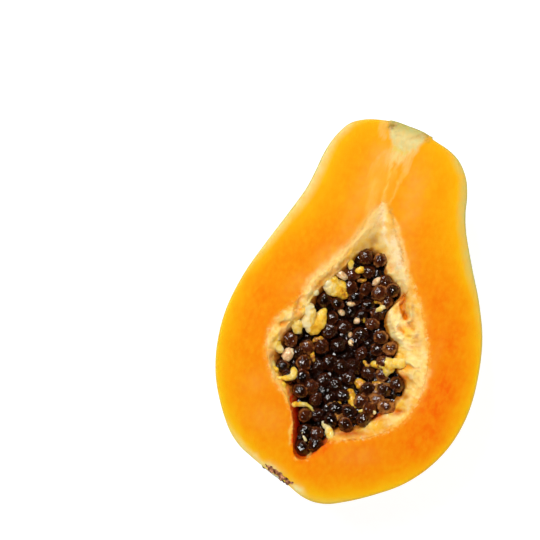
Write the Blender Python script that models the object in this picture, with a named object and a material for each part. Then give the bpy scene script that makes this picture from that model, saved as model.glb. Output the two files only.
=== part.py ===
"""A ripe papaya cut in half lengthwise, lying on its rind with the cut face up.

The fruit is modelled whole, as a loft along its stem-to-blossom axis, and is then cut by a level knife plane, as the
real one is. The seed hollow is taken out of the half, and the seeds lie in it as one packed mass.
Shapes are written in millimetres, with X across the fruit, Y towards the stem end and Z = 0 at the cut face. At the
end everything is raised so that the flat spot under the belly lies at Z = 0.
"""

import math
import random

import bmesh
import bpy
import numpy as np
from mathutils import Euler, Matrix, Vector, noise

MM = 0.001

# The whole fruit: stations from the stem end to the blossom end. Each holds the left and right edge of the cut
# face there, as (x, y), the depth of the belly below it, and how far along Y the belly's own line lies.
STEM_POLE = (-3.0, 78.4)
BLOSSOM_POLE = (-11.0, -67.0)
STATIONS = [
    # left edge, right edge, belly depth, belly y
    ((-8.5, 78.7), (3.0, 77.9), 5.6, 78.0),
    ((-14.0, 78.2), (9.0, 76.2), 11.6, 77.0),
    ((-20.5, 76.4), (15.0, 74.3), 17.6, 75.0),
    ((-26.0, 72.8), (20.0, 71.2), 22.6, 71.6),
    ((-30.0, 65.7), (24.2, 65.8), 26.2, 65.6),
    ((-32.0, 58.5), (26.6, 59.4), 28.2, 59.0),
    ((-33.0, 51.5), (28.0, 52.6), 29.8, 52.4),
    ((-34.6, 43.5), (30.6, 45.2), 32.4, 44.4),
    ((-38.6, 32.0), (36.6, 33.3), 37.8, 32.6),
    ((-43.4, 19.0), (43.4, 20.6), 44.6, 19.8),
    ((-48.0, 5.0), (48.6, 7.6), 48.5, 6.6),
    ((-50.6, -10.0), (51.3, -6.6), 48.8, -7.6),
    ((-50.0, -24.0), (51.8, -21.0), 46.6, -21.6),
    ((-47.0, -35.8), (49.2, -34.2), 42.6, -35.0),
    ((-42.0, -45.8), (43.6, -45.8), 37.4, -45.8),
    ((-35.8, -54.6), (35.6, -55.4), 31.6, -55.0),
    ((-30.3, -59.4), (26.0, -62.6), 24.4, -61.6),
    ((-25.0, -62.1), (16.4, -68.3), 17.4, -66.0),
    ((-20.6, -64.0), (8.0, -71.8), 11.4, -68.4),
    ((-16.2, -65.6), (-0.5, -71.6), 5.8, -68.4),
]
STATION_STEPS = 2
BODY_SIDES = 56
RIB_COUNT = 5
RIB_HEIGHT_SHARE = 0.012
FLAT_SPOT_DEPTH = 47.7

# The seed hollow: its edge on the cut face, and the edge of the pit that holds the seeds, both clockwise from the
# point nearest the stem.
HOLLOW_CENTRE = (-1.0, -13.0)
RIM_EDGE = [
    (-3.4, 47.5), (3.6, 40.2), (7.2, 34.2), (11.4, 26.6), (17.0, 19.6), (21.6, 13.4), (25.8, 5.6), (30.0, -3.0),
    (32.0, -13.6), (31.6, -22.6), (28.8, -31.6), (23.2, -37.6), (15.2, -43.0), (6.4, -46.6), (2.4, -48.4),
    (-1.2, -53.6), (-4.6, -57.6), (-8.2, -57.2), (-10.2, -53.2), (-11.8, -48.0), (-14.0, -41.8), (-18.6, -35.6),
    (-24.8, -31.2), (-30.4, -22.4), (-32.0, -14.6), (-30.0, -6.6), (-25.6, 1.2), (-21.4, 11.6), (-15.6, 20.6),
    (-11.6, 27.4), (-8.8, 35.2), (-6.2, 42.0),
]
PIT_EDGE = [
    (-1.0, 29.8), (3.2, 28.0), (5.4, 22.8), (9.4, 20.2), (13.4, 16.6), (12.8, 12.2), (10.8, 8.6), (11.4, 4.0),
    (14.4, -1.2), (18.6, -3.4), (19.2, -7.0), (19.6, -10.8), (21.8, -14.4), (25.4, -17.2), (26.4, -20.8), (25.4, -25.0),
    (23.8, -29.4), (20.6, -32.6), (17.4, -35.8), (15.0, -39.0), (10.8, -42.4), (5.8, -43.8), (2.4, -46.2),
    (1.6, -49.8), (-0.8, -53.2), (-4.2, -56.6), (-8.2, -56.4), (-9.9, -52.4), (-12.0, -46.2), (-14.6, -39.4),
    (-18.4, -33.2), (-23.6, -28.8), (-26.8, -25.0), (-27.6, -18.8), (-26.8, -12.6), (-23.4, -7.6), (-20.6, -1.2),
    (-19.4, 5.4), (-16.4, 11.0), (-13.2, 16.2), (-10.2, 21.2), (-7.8, 25.8), (-5.0, 28.8),
]
HOLLOW_SIDES = 112
SHELF_SHARES = (-0.12, 0.07, 0.27, 0.47, 0.67, 0.87, 1.05)
PIT_RINGS = 4
SHELF_DEPTH = 4.0
SHELF_CURVE = 0.55
SHELF_RELIEF = 1.3
SHELF_RELIEF_SIZE = 7.0
SHELF_RELIEF_SEED = 3.7
SHELF_RELIEF_WAVE = 0.8
PIT_DEPTH = 27.0
CUTTER_RISE = 3.0
SHARP_ANGLE = math.radians(40)
CURVE_STEPS = 8
EGG_SUBDIVISIONS = 2
WELD_DISTANCE = 2e-6
CUT_TOLERANCE = 1e-7

# The stub where the stalk broke off, its crust of nubs, and the dry flower scar at the other end.
STUB_RADIUS = 9.0
STUB_TOP_RADIUS = 7.4
STUB_LENGTH = 7.0
STUB_SIDES = 20
STUB_PROUD = 2.5
STUB_CENTRE = (-2.6, 76.6)
NUB_COUNT = 11
NUB_SIZE = (3.9, 2.7, 3.0)
NUB_REACH = 8.3
NUB_PROUD = 1.1
NUB_WANDER = 0.3
NUB_WAVES = 3
SCAR_CENTRE = (-11.6, -67.2)
SCAR_SIZE = (9.6, 2.6, 8.4)
SCAR_ANGLE = math.radians(-27)
# Its scales: how far along the scar each lies, its share of the full size, and how deep it lies.
SCAR_SCALES = [(-3.0, 0.8, -0.4), (0.6, 1.0, 0.0), (4.0, 0.7, 0.4)]

# The seeds lie in the pit as one packed mass, whose top sags towards the middle.
MASS_GAP = 0.6
MASS_EDGE_TOP = -5.6
MASS_MIDDLE_TOP = -12.5
MASS_SHARES = (0.25, 0.5, 0.75, 0.95, 1.1)
MASS_SIDE_STEP = 4
FLOOR_GAP = 1.5
KEPT_FACES_SHARE = 0.58
SEED_LENGTH = (5.9, 7.2)
SEED_WIDTH_SHARE = (0.8, 0.92)
SEED_LIFT_SHARE = (0.22, 0.44)
SEED_TILT = 0.4
PALE_LIFT = 2.2
PALE_HEIGHT = 4.6

# The middles of the dark seeds that show on top of it: x, y.
DARK_SEEDS = [
    (-4.1, 25.4), (1.4, 25.6), (-1.6, 20.0), (-7.4, 17.4), (6.2, 18.4), (9.6, 15.8), (5.2, 13.4), (-0.4, 13.4),
    (-6.4, 12.0), (-3.2, 8.8), (2.4, 7.4), (9.0, 10.8), (-14.8, 4.4), (-9.4, 4.6), (7.2, 5.2), (6.0, 0.8),
    (-9.8, -1.4), (-9.4, -6.6), (3.0, -4.6), (10.8, -3.2), (10.8, -8.4), (15.4, -6.2), (-4.2, -11.0),
    (5.4, -11.6), (-23.0, -14.2), (-15.6, -15.4), (4.2, -17.4), (10.4, -17.8), (-0.4, -19.2), (-5.2, -18.6),
    (22.2, -19.0), (-15.4, -21.6), (-9.4, -21.6), (3.4, -22.4), (-23.2, -25.2), (-14.2, -27.0), (-5.8, -25.8),
    (-0.6, -26.4), (11.8, -24.2), (18.2, -22.6), (20.6, -28.4), (16.2, -27.0), (3.2, -29.4), (-13.6, -32.4),
    (-6.6, -34.0), (-1.4, -32.0), (2.4, -35.2), (7.2, -34.6), (13.4, -35.6), (7.4, -39.8), (1.4, -40.0),
    (-9.0, -41.0), (-7.0, -47.0), (-2.6, -46.6), (-1.6, -50.8), (-6.2, -53.8), (10.6, -29.4), (14.6, -31.6),
    (-4.0, -3.4), (-10.6, -13.2), (0.8, -8.0), (-19.4, -18.6), (-4.4, -39.6), (-19.0, -28.2), (15.6, -17.0),
    (1.0, 2.6), (-3.6, 3.4), (-9.8, -29.8), (-4.4, -30.0), (14.8, -12.2),
]
# Pale seeds that never ripened and torn bits of pulp, lying among the dark seeds: x, y, length, width, turn.
PALE_SEEDS = [
    (-11.4, 15.8, 5.6, 3.2, -25), (-5.0, 19.4, 3.6, 2.8, 0), (2.8, 17.4, 4.6, 3.0, 65), (-6.9, 1.8, 3.4, 2.4, -30),
    (-4.2, 6.0, 3.4, 2.4, 20), (0.6, 0.4, 4.2, 3.4, 40), (-0.9, -5.8, 2.6, 2.0, 80), (0.6, -8.4, 3.8, 3.4, -60),
    (7.4, 7.8, 4.6, 2.6, 60), (-22.2, -20.2, 6.2, 4.6, 85),
]
PULP_BITS = [
    (-11.6, 9.8, 9.0, 6.4, -15), (-15.2, -5.6, 10.0, 6.6, 75), (-17.4, -0.8, 6.0, 3.6, 60), (-12.2, -11.0, 5.0, 3.4, 40),
    (15.6, -10.6, 8.0, 2.6, 20), (-12.6, -18.2, 4.0, 2.4, -50), (7.4, -30.6, 5.0, 3.0, 70), (-9.6, -37.4, 8.0, 2.2, -15),
    (3.2, -43.0, 5.0, 3.0, -40), (9.2, -22.4, 4.6, 2.6, 40), (17.0, -30.4, 4.4, 2.4, 40),
]
# Lumps of the pale lining that stand up from the shelf round the pit: x, y, length, width, turn.
LUMP_SINK = 0.8
LUMP_HEIGHT = 3.4
LINING_LUMPS = [
    (-22.4, 5.0, 8.0, 4.2, 60), (-24.6, -4.4, 8.0, 4.4, 60), (14.8, 8.6, 9.0, 4.0, -65), (16.4, 1.0, 9.0, 4.4, -50),
    (22.0, -5.4, 9.0, 4.6, -70), (25.6, -11.4, 8.0, 4.4, -60), (18.4, 12.0, 6.0, 3.2, -60), (-29.4, -14.8, 6.6, 3.0, 85),
    (21.8, 3.4, 8.0, 4.0, -60), (27.6, -4.4, 7.0, 3.6, -75), (-17.6, 13.4, 8.0, 3.0, 55), (12.0, -43.2, 7.0, 2.6, 25),
    (23.6, -33.6, 7.0, 3.0, 50), (28.2, -23.6, 8.0, 3.2, 85),
]


def smooth_curve(points, steps, closed=False):
    """Points on a smooth curve through the given ones, with this many steps between each two of them."""
    pts = np.asarray(points, float)
    count = len(pts)
    spans = count if closed else count - 1
    out = []
    for i in range(spans):
        around = [(i + j) % count if closed else min(max(i + j, 0), count - 1) for j in (-1, 0, 1, 2)]
        p0, p1, p2, p3 = pts[around]
        for t in np.arange(steps) / steps:
            out.append(
                0.5 * (2 * p1 + (p2 - p0) * t + (2 * p0 - 5 * p1 + 4 * p2 - p3) * t**2 + (3 * p1 - p0 - 3 * p2 + p3) * t**3)
            )
    if not closed:
        out.append(pts[-1])
    return np.array(out)


def moved_inwards(outline, distance):
    """A clockwise outline as a smooth curve, moved towards its inside."""
    curve = smooth_curve(outline, CURVE_STEPS, closed=True)
    along = np.roll(curve, -1, axis=0) - np.roll(curve, 1, axis=0)
    along /= np.hypot(along[:, 0], along[:, 1])[:, None]
    return curve + distance * np.column_stack([along[:, 1], -along[:, 0]])


def polar_edge(outline, inset=0.0):
    """A function that gives the distance of an edge from the hollow's centre, in the direction of an angle."""
    curve = moved_inwards(outline, inset) - np.array(HOLLOW_CENTRE)
    angles = np.arctan2(curve[:, 1], curve[:, 0])
    order = np.argsort(angles)
    radii = np.hypot(curve[:, 0], curve[:, 1])[order]

    def radius(angle):
        return float(np.interp(angle, angles[order], radii, period=2 * math.pi))

    return radius


rim_radius = polar_edge(RIM_EDGE)
pit_radius = polar_edge(PIT_EDGE)
mass_radius = polar_edge(PIT_EDGE, MASS_GAP)


def add_material(obj, name, colour, roughness):
    material = bpy.data.materials.new(name)
    material.use_nodes = True
    shader = material.node_tree.nodes["Principled BSDF"]
    shader.inputs["Base Color"].default_value = (*colour, 1.0)
    shader.inputs["Roughness"].default_value = roughness
    shader.inputs["Metallic"].default_value = 0.0
    obj.data.materials.append(material)


def new_collection(name):
    collection = bpy.data.collections.new(name)
    bpy.context.scene.collection.children.link(collection)
    return collection


def object_from(bm, name, collection):
    """Closes a bmesh that was drawn in millimetres into an object in metres."""
    bmesh.ops.scale(bm, vec=(MM, MM, MM), verts=bm.verts)
    bmesh.ops.recalc_face_normals(bm, faces=bm.faces)
    mesh = bpy.data.meshes.new(name)
    bm.to_mesh(mesh)
    bm.free()
    obj = bpy.data.objects.new(name, mesh)
    collection.objects.link(obj)
    return obj


def close_rings(bm, rings, first_pole, last_pole):
    """Faces between closed rings of points, with a point at each end."""
    rows = [[bm.verts.new(p) for p in ring] for ring in rings]
    first = bm.verts.new(first_pole)
    last = bm.verts.new(last_pole)
    count = len(rows[0])
    for i in range(count):
        j = (i + 1) % count
        bm.faces.new((first, rows[0][i], rows[0][j]))
        bm.faces.new((last, rows[-1][j], rows[-1][i]))
        for a, b in zip(rows, rows[1:]):
            bm.faces.new((a[i], b[i], b[j], a[j]))


def body_ring(station):
    """One ring of the whole fruit. The belly is rounder and slightly ribbed below the cut face."""
    left_x, left_y, right_x, right_y, depth, belly_y = station
    middle, half = (left_x + right_x) / 2, (right_x - left_x) / 2
    ring = []
    for k in range(BODY_SIDES):
        angle = 2 * math.pi * (k + 0.5) / BODY_SIDES
        side, below = math.cos(angle), -math.sin(angle)
        edge_y = right_y if side > 0 else left_y
        rib = 1 + RIB_HEIGHT_SHARE * below**2 * math.cos(RIB_COUNT * angle)
        ring.append((middle + side * half * rib, side**2 * edge_y + below**2 * belly_y, below * depth * rib))
    return ring


def whole_fruit(collection):
    """The whole papaya, before the knife."""
    rows = [(*STEM_POLE, *STEM_POLE, 0.0, STEM_POLE[1])]
    rows += [(*left, *right, depth, belly) for left, right, depth, belly in STATIONS]
    rows += [(*BLOSSOM_POLE, *BLOSSOM_POLE, 0.0, BLOSSOM_POLE[1])]
    stations = smooth_curve(rows, STATION_STEPS)[1:-1]
    bm = bmesh.new()
    close_rings(bm, [body_ring(s) for s in stations], (*STEM_POLE, 0.0), (*BLOSSOM_POLE, 0.0))
    return object_from(bm, "fruit_half", collection)


def ellipsoid(name, centre, size, turn, collection):
    """A faceted egg of these full sizes, turned by an Euler rotation."""
    bm = bmesh.new()
    bmesh.ops.create_icosphere(bm, subdivisions=EGG_SUBDIVISIONS, radius=0.5)
    place = Matrix.Translation(centre) @ Euler(turn).to_matrix().to_4x4() @ Matrix.Diagonal((*size, 1.0))
    bmesh.ops.transform(bm, matrix=place, verts=bm.verts)
    return object_from(bm, name, collection)


def stalk_stub(collection):
    """The stub of the stalk with a ring of crusty nubs round its broken edge."""
    bm = bmesh.new()
    bmesh.ops.create_cone(
        bm, cap_ends=True, segments=STUB_SIDES, radius1=STUB_RADIUS, radius2=STUB_TOP_RADIUS, depth=STUB_LENGTH
    )
    lie = Matrix.Translation((*STUB_CENTRE, 0.0)) @ Matrix.Rotation(math.radians(-90), 4, "X")
    sink = Matrix.Translation((0.0, 0.0, STUB_PROUD - STUB_LENGTH / 2))
    bmesh.ops.transform(bm, matrix=lie @ sink, verts=bm.verts)
    object_from(bm, "stub", collection)
    for k in range(NUB_COUNT):
        angle = 2 * math.pi * (k + 0.5) / NUB_COUNT
        centre = (
            STUB_CENTRE[0] + NUB_REACH * math.cos(angle),
            STUB_CENTRE[1] + NUB_PROUD + NUB_WANDER * math.sin(NUB_WAVES * angle),
            NUB_REACH * math.sin(angle),
        )
        ellipsoid(f"nub_{k}", centre, NUB_SIZE, (0, angle, 0), collection)


def flower_scar(collection):
    """The dry brown flower scar, a flat crust of three overlapping scales."""
    for k, (shift, share, height) in enumerate(SCAR_SCALES):
        centre = (
            SCAR_CENTRE[0] + shift * math.cos(SCAR_ANGLE),
            SCAR_CENTRE[1] + shift * math.sin(SCAR_ANGLE),
            height,
        )
        size = tuple(share * s for s in SCAR_SIZE)
        ellipsoid(f"scar_{k}", centre, size, (0, 0, SCAR_ANGLE), collection)


def apply_modifiers(obj):
    """Turns an object's modifiers into its mesh, with the doubled points welded."""
    graph = bpy.context.evaluated_depsgraph_get()
    mesh = bpy.data.meshes.new_from_object(obj.evaluated_get(graph))
    obj.modifiers.clear()
    obj.data = mesh
    bm = bmesh.new()
    bm.from_mesh(mesh)
    bmesh.ops.remove_doubles(bm, verts=bm.verts, dist=WELD_DISTANCE)
    bm.to_mesh(mesh)
    bm.free()


def apply_boolean(obj, operation, other):
    """Joins a collection to an object, or cuts a mesh from it, and removes what was used up."""
    modifier = obj.modifiers.new(operation.lower(), "BOOLEAN")
    modifier.operation = operation
    modifier.solver = "EXACT"
    if isinstance(other, bpy.types.Collection):
        modifier.operand_type = "COLLECTION"
        modifier.collection = other
        used = list(other.objects)
    else:
        modifier.object = other
        used = [other]
    apply_modifiers(obj)
    for item in used:
        bpy.data.objects.remove(item)


def slice_level(obj, height, keep_above):
    """Cuts an object with a level plane and closes the cut with a flat face."""
    bm = bmesh.new()
    bm.from_mesh(obj.data)
    geometry = bm.verts[:] + bm.edges[:] + bm.faces[:]
    cut = bmesh.ops.bisect_plane(
        bm,
        geom=geometry,
        plane_co=(0, 0, height * MM),
        plane_no=(0, 0, 1),
        clear_outer=not keep_above,
        clear_inner=keep_above,
        dist=CUT_TOLERANCE,
    )
    edges = [e for e in cut["geom_cut"] if isinstance(e, bmesh.types.BMEdge)]
    bmesh.ops.contextual_create(bm, geom=edges)
    bmesh.ops.recalc_face_normals(bm, faces=bm.faces)
    bm.to_mesh(obj.data)
    bm.free()


def shelf_height(x, y, share):
    """Height of the lining at a share of the way from the rim, 0, to the edge of the pit, 1."""
    slope = -SHELF_DEPTH * ((1 - SHELF_CURVE) * share + SHELF_CURVE * share**2)
    relief = noise.noise(Vector((x / SHELF_RELIEF_SIZE, y / SHELF_RELIEF_SIZE, SHELF_RELIEF_SEED)))
    return slope + SHELF_RELIEF * relief * math.sin(math.pi * min(share, 1.0) * SHELF_RELIEF_WAVE)


def polar_ring(radius, share, height):
    """A level ring on the rays from the hollow's centre, at a share of an edge's distance."""
    ring = []
    for side in range(HOLLOW_SIDES):
        angle = 2 * math.pi * side / HOLLOW_SIDES - math.pi
        reach = radius(angle) * share
        ring.append((HOLLOW_CENTRE[0] + reach * math.cos(angle), HOLLOW_CENTRE[1] + reach * math.sin(angle), height))
    return ring


def shelf_cutter(collection):
    """The upper part of the seed hollow, down to a shelf of lining that slopes from the rim to the pit."""
    rims = polar_ring(rim_radius, 1.0, 0.0)
    pits = polar_ring(pit_radius, 1.0, 0.0)
    rings = []
    for share in SHELF_SHARES:
        ring = []
        for rim, pit in zip(rims, pits):
            x, y, _ = Vector(rim).lerp(Vector(pit), share)
            ring.append((x, y, shelf_height(x, y, share) if share > 0 else CUTTER_RISE))
        rings.append(ring)
    bm = bmesh.new()
    close_rings(bm, rings, (*HOLLOW_CENTRE, CUTTER_RISE), (*HOLLOW_CENTRE, -SHELF_DEPTH))
    return object_from(bm, "shelf_cutter", collection)


def bowl(name, radius, wall_foot, bottom, collection):
    """A block with an edge's outline and a rounded bottom, which reaches up past the cut face."""
    rings = [polar_ring(radius, 1.0, CUTTER_RISE)]
    for k in range(PIT_RINGS + 1):
        turn = math.pi / 2 * k / (PIT_RINGS + 1)
        rings.append(polar_ring(radius, math.cos(turn), wall_foot + (bottom - wall_foot) * math.sin(turn)))
    bm = bmesh.new()
    close_rings(bm, rings, (*HOLLOW_CENTRE, CUTTER_RISE), (*HOLLOW_CENTRE, bottom))
    return object_from(bm, name, collection)


def mass_top(x, y):
    """Height of the packed mass under the seeds, which sags towards the middle."""
    dx, dy = x - HOLLOW_CENTRE[0], y - HOLLOW_CENTRE[1]
    share = min(math.hypot(dx, dy) / mass_radius(math.atan2(dy, dx)), 1.0)
    return MASS_MIDDLE_TOP + (MASS_EDGE_TOP - MASS_MIDDLE_TOP) * share**2


def packed_mass(collection):
    """A block with the top of the seed mass. It reaches past the pit, and is trimmed to it afterwards."""
    rings = []
    for share in MASS_SHARES:
        points = polar_ring(mass_radius, share, 0.0)[::MASS_SIDE_STEP]
        rings.append([(x, y, mass_top(x, y)) for x, y, _ in points])
    rings.append([(x, y, -PIT_DEPTH - CUTTER_RISE) for x, y, _ in rings[-1]])
    bm = bmesh.new()
    close_rings(bm, rings, (*HOLLOW_CENTRE, MASS_MIDDLE_TOP), (*HOLLOW_CENTRE, -PIT_DEPTH - CUTTER_RISE))
    return object_from(bm, "seed_cluster", collection)


def seed_cluster(collection, scraps, cutters):
    """Every seed of the cut face, joined to the packed mass below and trimmed clear of the pit's wall."""
    draw = random.Random(11)
    mass = packed_mass(collection)
    for k, (x, y) in enumerate(DARK_SEEDS):
        length = draw.uniform(*SEED_LENGTH)
        width = length * draw.uniform(*SEED_WIDTH_SHARE)
        height = mass_top(x, y) + width * draw.uniform(*SEED_LIFT_SHARE)
        turn = (draw.uniform(-SEED_TILT, SEED_TILT), draw.uniform(-SEED_TILT, SEED_TILT), draw.uniform(0, math.pi))
        ellipsoid(f"dark_seed_{k}", (x, y, height), (length, width, width), turn, scraps)
    for k, (x, y, length, width, turn) in enumerate(PALE_SEEDS + PULP_BITS):
        place = (x, y, mass_top(x, y) + PALE_LIFT)
        ellipsoid(f"pale_piece_{k}", place, (length, width, PALE_HEIGHT), (0, 0, math.radians(turn)), scraps)
    apply_boolean(mass, "UNION", scraps)
    apply_boolean(mass, "INTERSECT", bowl("mass_room", mass_radius, -SHELF_DEPTH, FLOOR_GAP - PIT_DEPTH, cutters))
    thinning = mass.modifiers.new("thinning", "DECIMATE")
    thinning.ratio = KEPT_FACES_SHARE
    apply_modifiers(mass)
    add_material(mass, "seed_skin", (0.035, 0.018, 0.012), 0.25)
    return mass


def lining_lumps(collection):
    """The wrinkled lumps of the lining, standing a little above its shelf."""
    for k, (x, y, length, width, turn) in enumerate(LINING_LUMPS):
        dx, dy = x - HOLLOW_CENTRE[0], y - HOLLOW_CENTRE[1]
        angle = math.atan2(dy, dx)
        rim, pit = rim_radius(angle), pit_radius(angle)
        height = shelf_height(x, y, (rim - math.hypot(dx, dy)) / (rim - pit)) - LUMP_SINK
        ellipsoid(f"lump_{k}", (x, y, height), (length, width, LUMP_HEIGHT), (0, 0, math.radians(turn)), collection)


def fruit_half(collection, scraps, cutters):
    """The rind and flesh of the half, grown as one piece, with its hollow."""
    fruit = whole_fruit(collection)
    stalk_stub(scraps)
    flower_scar(scraps)
    apply_boolean(fruit, "UNION", scraps)
    slice_level(fruit, 0.0, keep_above=False)
    slice_level(fruit, -FLAT_SPOT_DEPTH, keep_above=True)
    apply_boolean(fruit, "DIFFERENCE", shelf_cutter(cutters))
    lining_lumps(scraps)
    apply_boolean(fruit, "UNION", scraps)
    # The pit is cut last, so that the lumps end at its wall.
    apply_boolean(fruit, "DIFFERENCE", bowl("pit", pit_radius, -SHELF_DEPTH, -PIT_DEPTH, cutters))
    add_material(fruit, "papaya_flesh", (0.95, 0.36, 0.03), 0.45)
    return fruit


def main():
    for obj in list(bpy.data.objects):
        bpy.data.objects.remove(obj)
    papaya = new_collection("papaya_half")
    cutters = new_collection("cutters")
    scraps = new_collection("scraps")
    pieces = [fruit_half(papaya, scraps, cutters), seed_cluster(papaya, scraps, cutters)]
    for piece in pieces:
        piece.location.z = FLAT_SPOT_DEPTH * MM
        piece.data.shade_smooth()
        piece.data.set_sharp_from_angle(angle=SHARP_ANGLE)


main()
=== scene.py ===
"""A ripe papaya half on a pale floor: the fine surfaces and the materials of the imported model.

Lengths are written in millimetres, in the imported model's own directions: X across the fruit, Y towards the
stem end. Heights are counted from the cut face, and every mesh is raised by CUT_HEIGHT when it is made.
"""

import math
import random

import bmesh
import bpy
import numpy as np
from mathutils import Euler, Matrix, Vector, noise


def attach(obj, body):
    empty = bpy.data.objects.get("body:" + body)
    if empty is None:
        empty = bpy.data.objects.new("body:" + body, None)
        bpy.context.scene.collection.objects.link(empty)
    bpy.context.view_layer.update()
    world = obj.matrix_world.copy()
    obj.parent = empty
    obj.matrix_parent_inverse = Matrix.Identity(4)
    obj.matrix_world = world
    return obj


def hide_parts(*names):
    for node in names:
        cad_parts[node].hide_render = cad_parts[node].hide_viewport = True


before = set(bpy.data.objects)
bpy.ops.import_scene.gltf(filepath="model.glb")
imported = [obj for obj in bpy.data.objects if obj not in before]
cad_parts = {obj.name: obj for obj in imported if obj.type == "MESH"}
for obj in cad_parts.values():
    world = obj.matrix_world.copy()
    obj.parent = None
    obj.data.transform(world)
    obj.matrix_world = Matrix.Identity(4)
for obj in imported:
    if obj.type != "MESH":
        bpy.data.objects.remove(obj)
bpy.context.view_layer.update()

MM = 0.001
BODY = "root"
CUT_HEIGHT = 47.7

# The whole fruit, as stations from the stem end to the blossom end.
STEM_POLE = (-3.0, 78.4)
BLOSSOM_POLE = (-11.0, -67.0)
STATIONS = [
    # left edge x and y, right edge x and y, belly depth, belly y
    (-8.5, 78.7, 3, 77.9, 5.6, 78), (-14, 78.2, 9, 76.2, 11.6, 77), (-20.5, 76.4, 15, 74.3, 17.6, 75),
    (-26, 72.8, 20, 71.2, 22.6, 71.6), (-30, 65.7, 24.2, 65.8, 26.2, 65.6), (-32, 58.5, 26.6, 59.4, 28.2, 59),
    (-33, 51.5, 28, 52.6, 29.8, 52.4), (-34.6, 43.5, 30.6, 45.2, 32.4, 44.4),
    (-38.6, 32, 36.6, 33.3, 37.8, 32.6), (-43.4, 19, 43.4, 20.6, 44.6, 19.8), (-48, 5, 48.6, 7.6, 48.5, 6.6),
    (-50.6, -10, 51.3, -6.6, 48.8, -7.6), (-50, -24, 51.8, -21, 46.6, -21.6),
    (-47, -35.8, 49.2, -34.2, 42.6, -35), (-42, -45.8, 43.6, -45.8, 37.4, -45.8),
    (-35.8, -54.6, 35.6, -55.4, 31.6, -55), (-30.3, -59.4, 26, -62.6, 24.4, -61.6),
    (-25, -62.1, 16.4, -68.3, 17.4, -66), (-20.6, -64, 8, -71.8, 11.4, -68.4),
    (-16.2, -65.6, -0.5, -71.6, 5.8, -68.4),
]
STATION_STEPS = 24
ROW_COUNT = 280
SKIN_SIDES = 72
RIB_COUNT = 5
RIB_HEIGHT_SHARE = 0.012

# The seed hollow: its rim on the cut face, and the edge of the pit that holds the seeds.
HOLLOW_CENTRE = (-1.0, -13.0)
RIM_EDGE = [
    (-3.4, 47.5), (3.6, 40.2), (7.2, 34.2), (11.4, 26.6), (17, 19.6), (21.6, 13.4), (25.8, 5.6), (30, -3),
    (32, -13.6), (31.6, -22.6), (28.8, -31.6), (23.2, -37.6), (15.2, -43), (6.4, -46.6), (2.4, -48.4),
    (-1.2, -53.6), (-4.6, -57.6), (-8.2, -57.2), (-10.2, -53.2), (-11.8, -48), (-14, -41.8), (-18.6, -35.6),
    (-24.8, -31.2), (-30.4, -22.4), (-32, -14.6), (-30, -6.6), (-25.6, 1.2), (-21.4, 11.6), (-15.6, 20.6),
    (-11.6, 27.4), (-8.8, 35.2), (-6.2, 42),
]
PIT_EDGE = [
    (-1, 29.8), (3.2, 28), (5.4, 22.8), (9.4, 20.2), (13.4, 16.6), (12.8, 12.2), (10.8, 8.6), (11.4, 4),
    (14.4, -1.2), (18.6, -3.4), (19.2, -7), (19.6, -10.8), (21.8, -14.4), (25.4, -17.2), (26.4, -20.8),
    (25.4, -25), (23.8, -29.4), (20.6, -32.6), (17.4, -35.8), (15, -39), (10.8, -42.4), (5.8, -43.8),
    (2.4, -46.2), (1.6, -49.8), (-0.8, -53.2), (-4.2, -56.6), (-8.2, -56.4), (-9.9, -52.4), (-12, -46.2),
    (-14.6, -39.4), (-18.4, -33.2), (-23.6, -28.8), (-26.8, -25), (-27.6, -18.8), (-26.8, -12.6),
    (-23.4, -7.6), (-20.6, -1.2), (-19.4, 5.4), (-16.4, 11), (-13.2, 16.2), (-10.2, 21.2), (-7.8, 25.8),
    (-5, 28.8),
]
CURVE_STEPS = 8
POINTS_AT_ONCE = 2000
CUT_RINGS = 36
SHELF_RINGS = 44
WALL_RINGS = 12
FLOOR_RINGS = 5
SHELF_DEPTH = 4.0
PIT_DEPTH = 26.0
FIBRE_REACH = 24.0

# The stub of the stalk and the flower scar.
STUB_CENTRE = (-2.6, 76.6)
STUB_RADIUS = 9.0
STUB_PROUD = 0.5
NECK_END = 60.0
NUBS_ROUND = 90
NUBS_LEFT_OUT = 6
SCAR_PATH = [(-17.8, -64.2), (-14.2, -65), (-10.8, -66.6), (-6.8, -68)]

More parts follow.
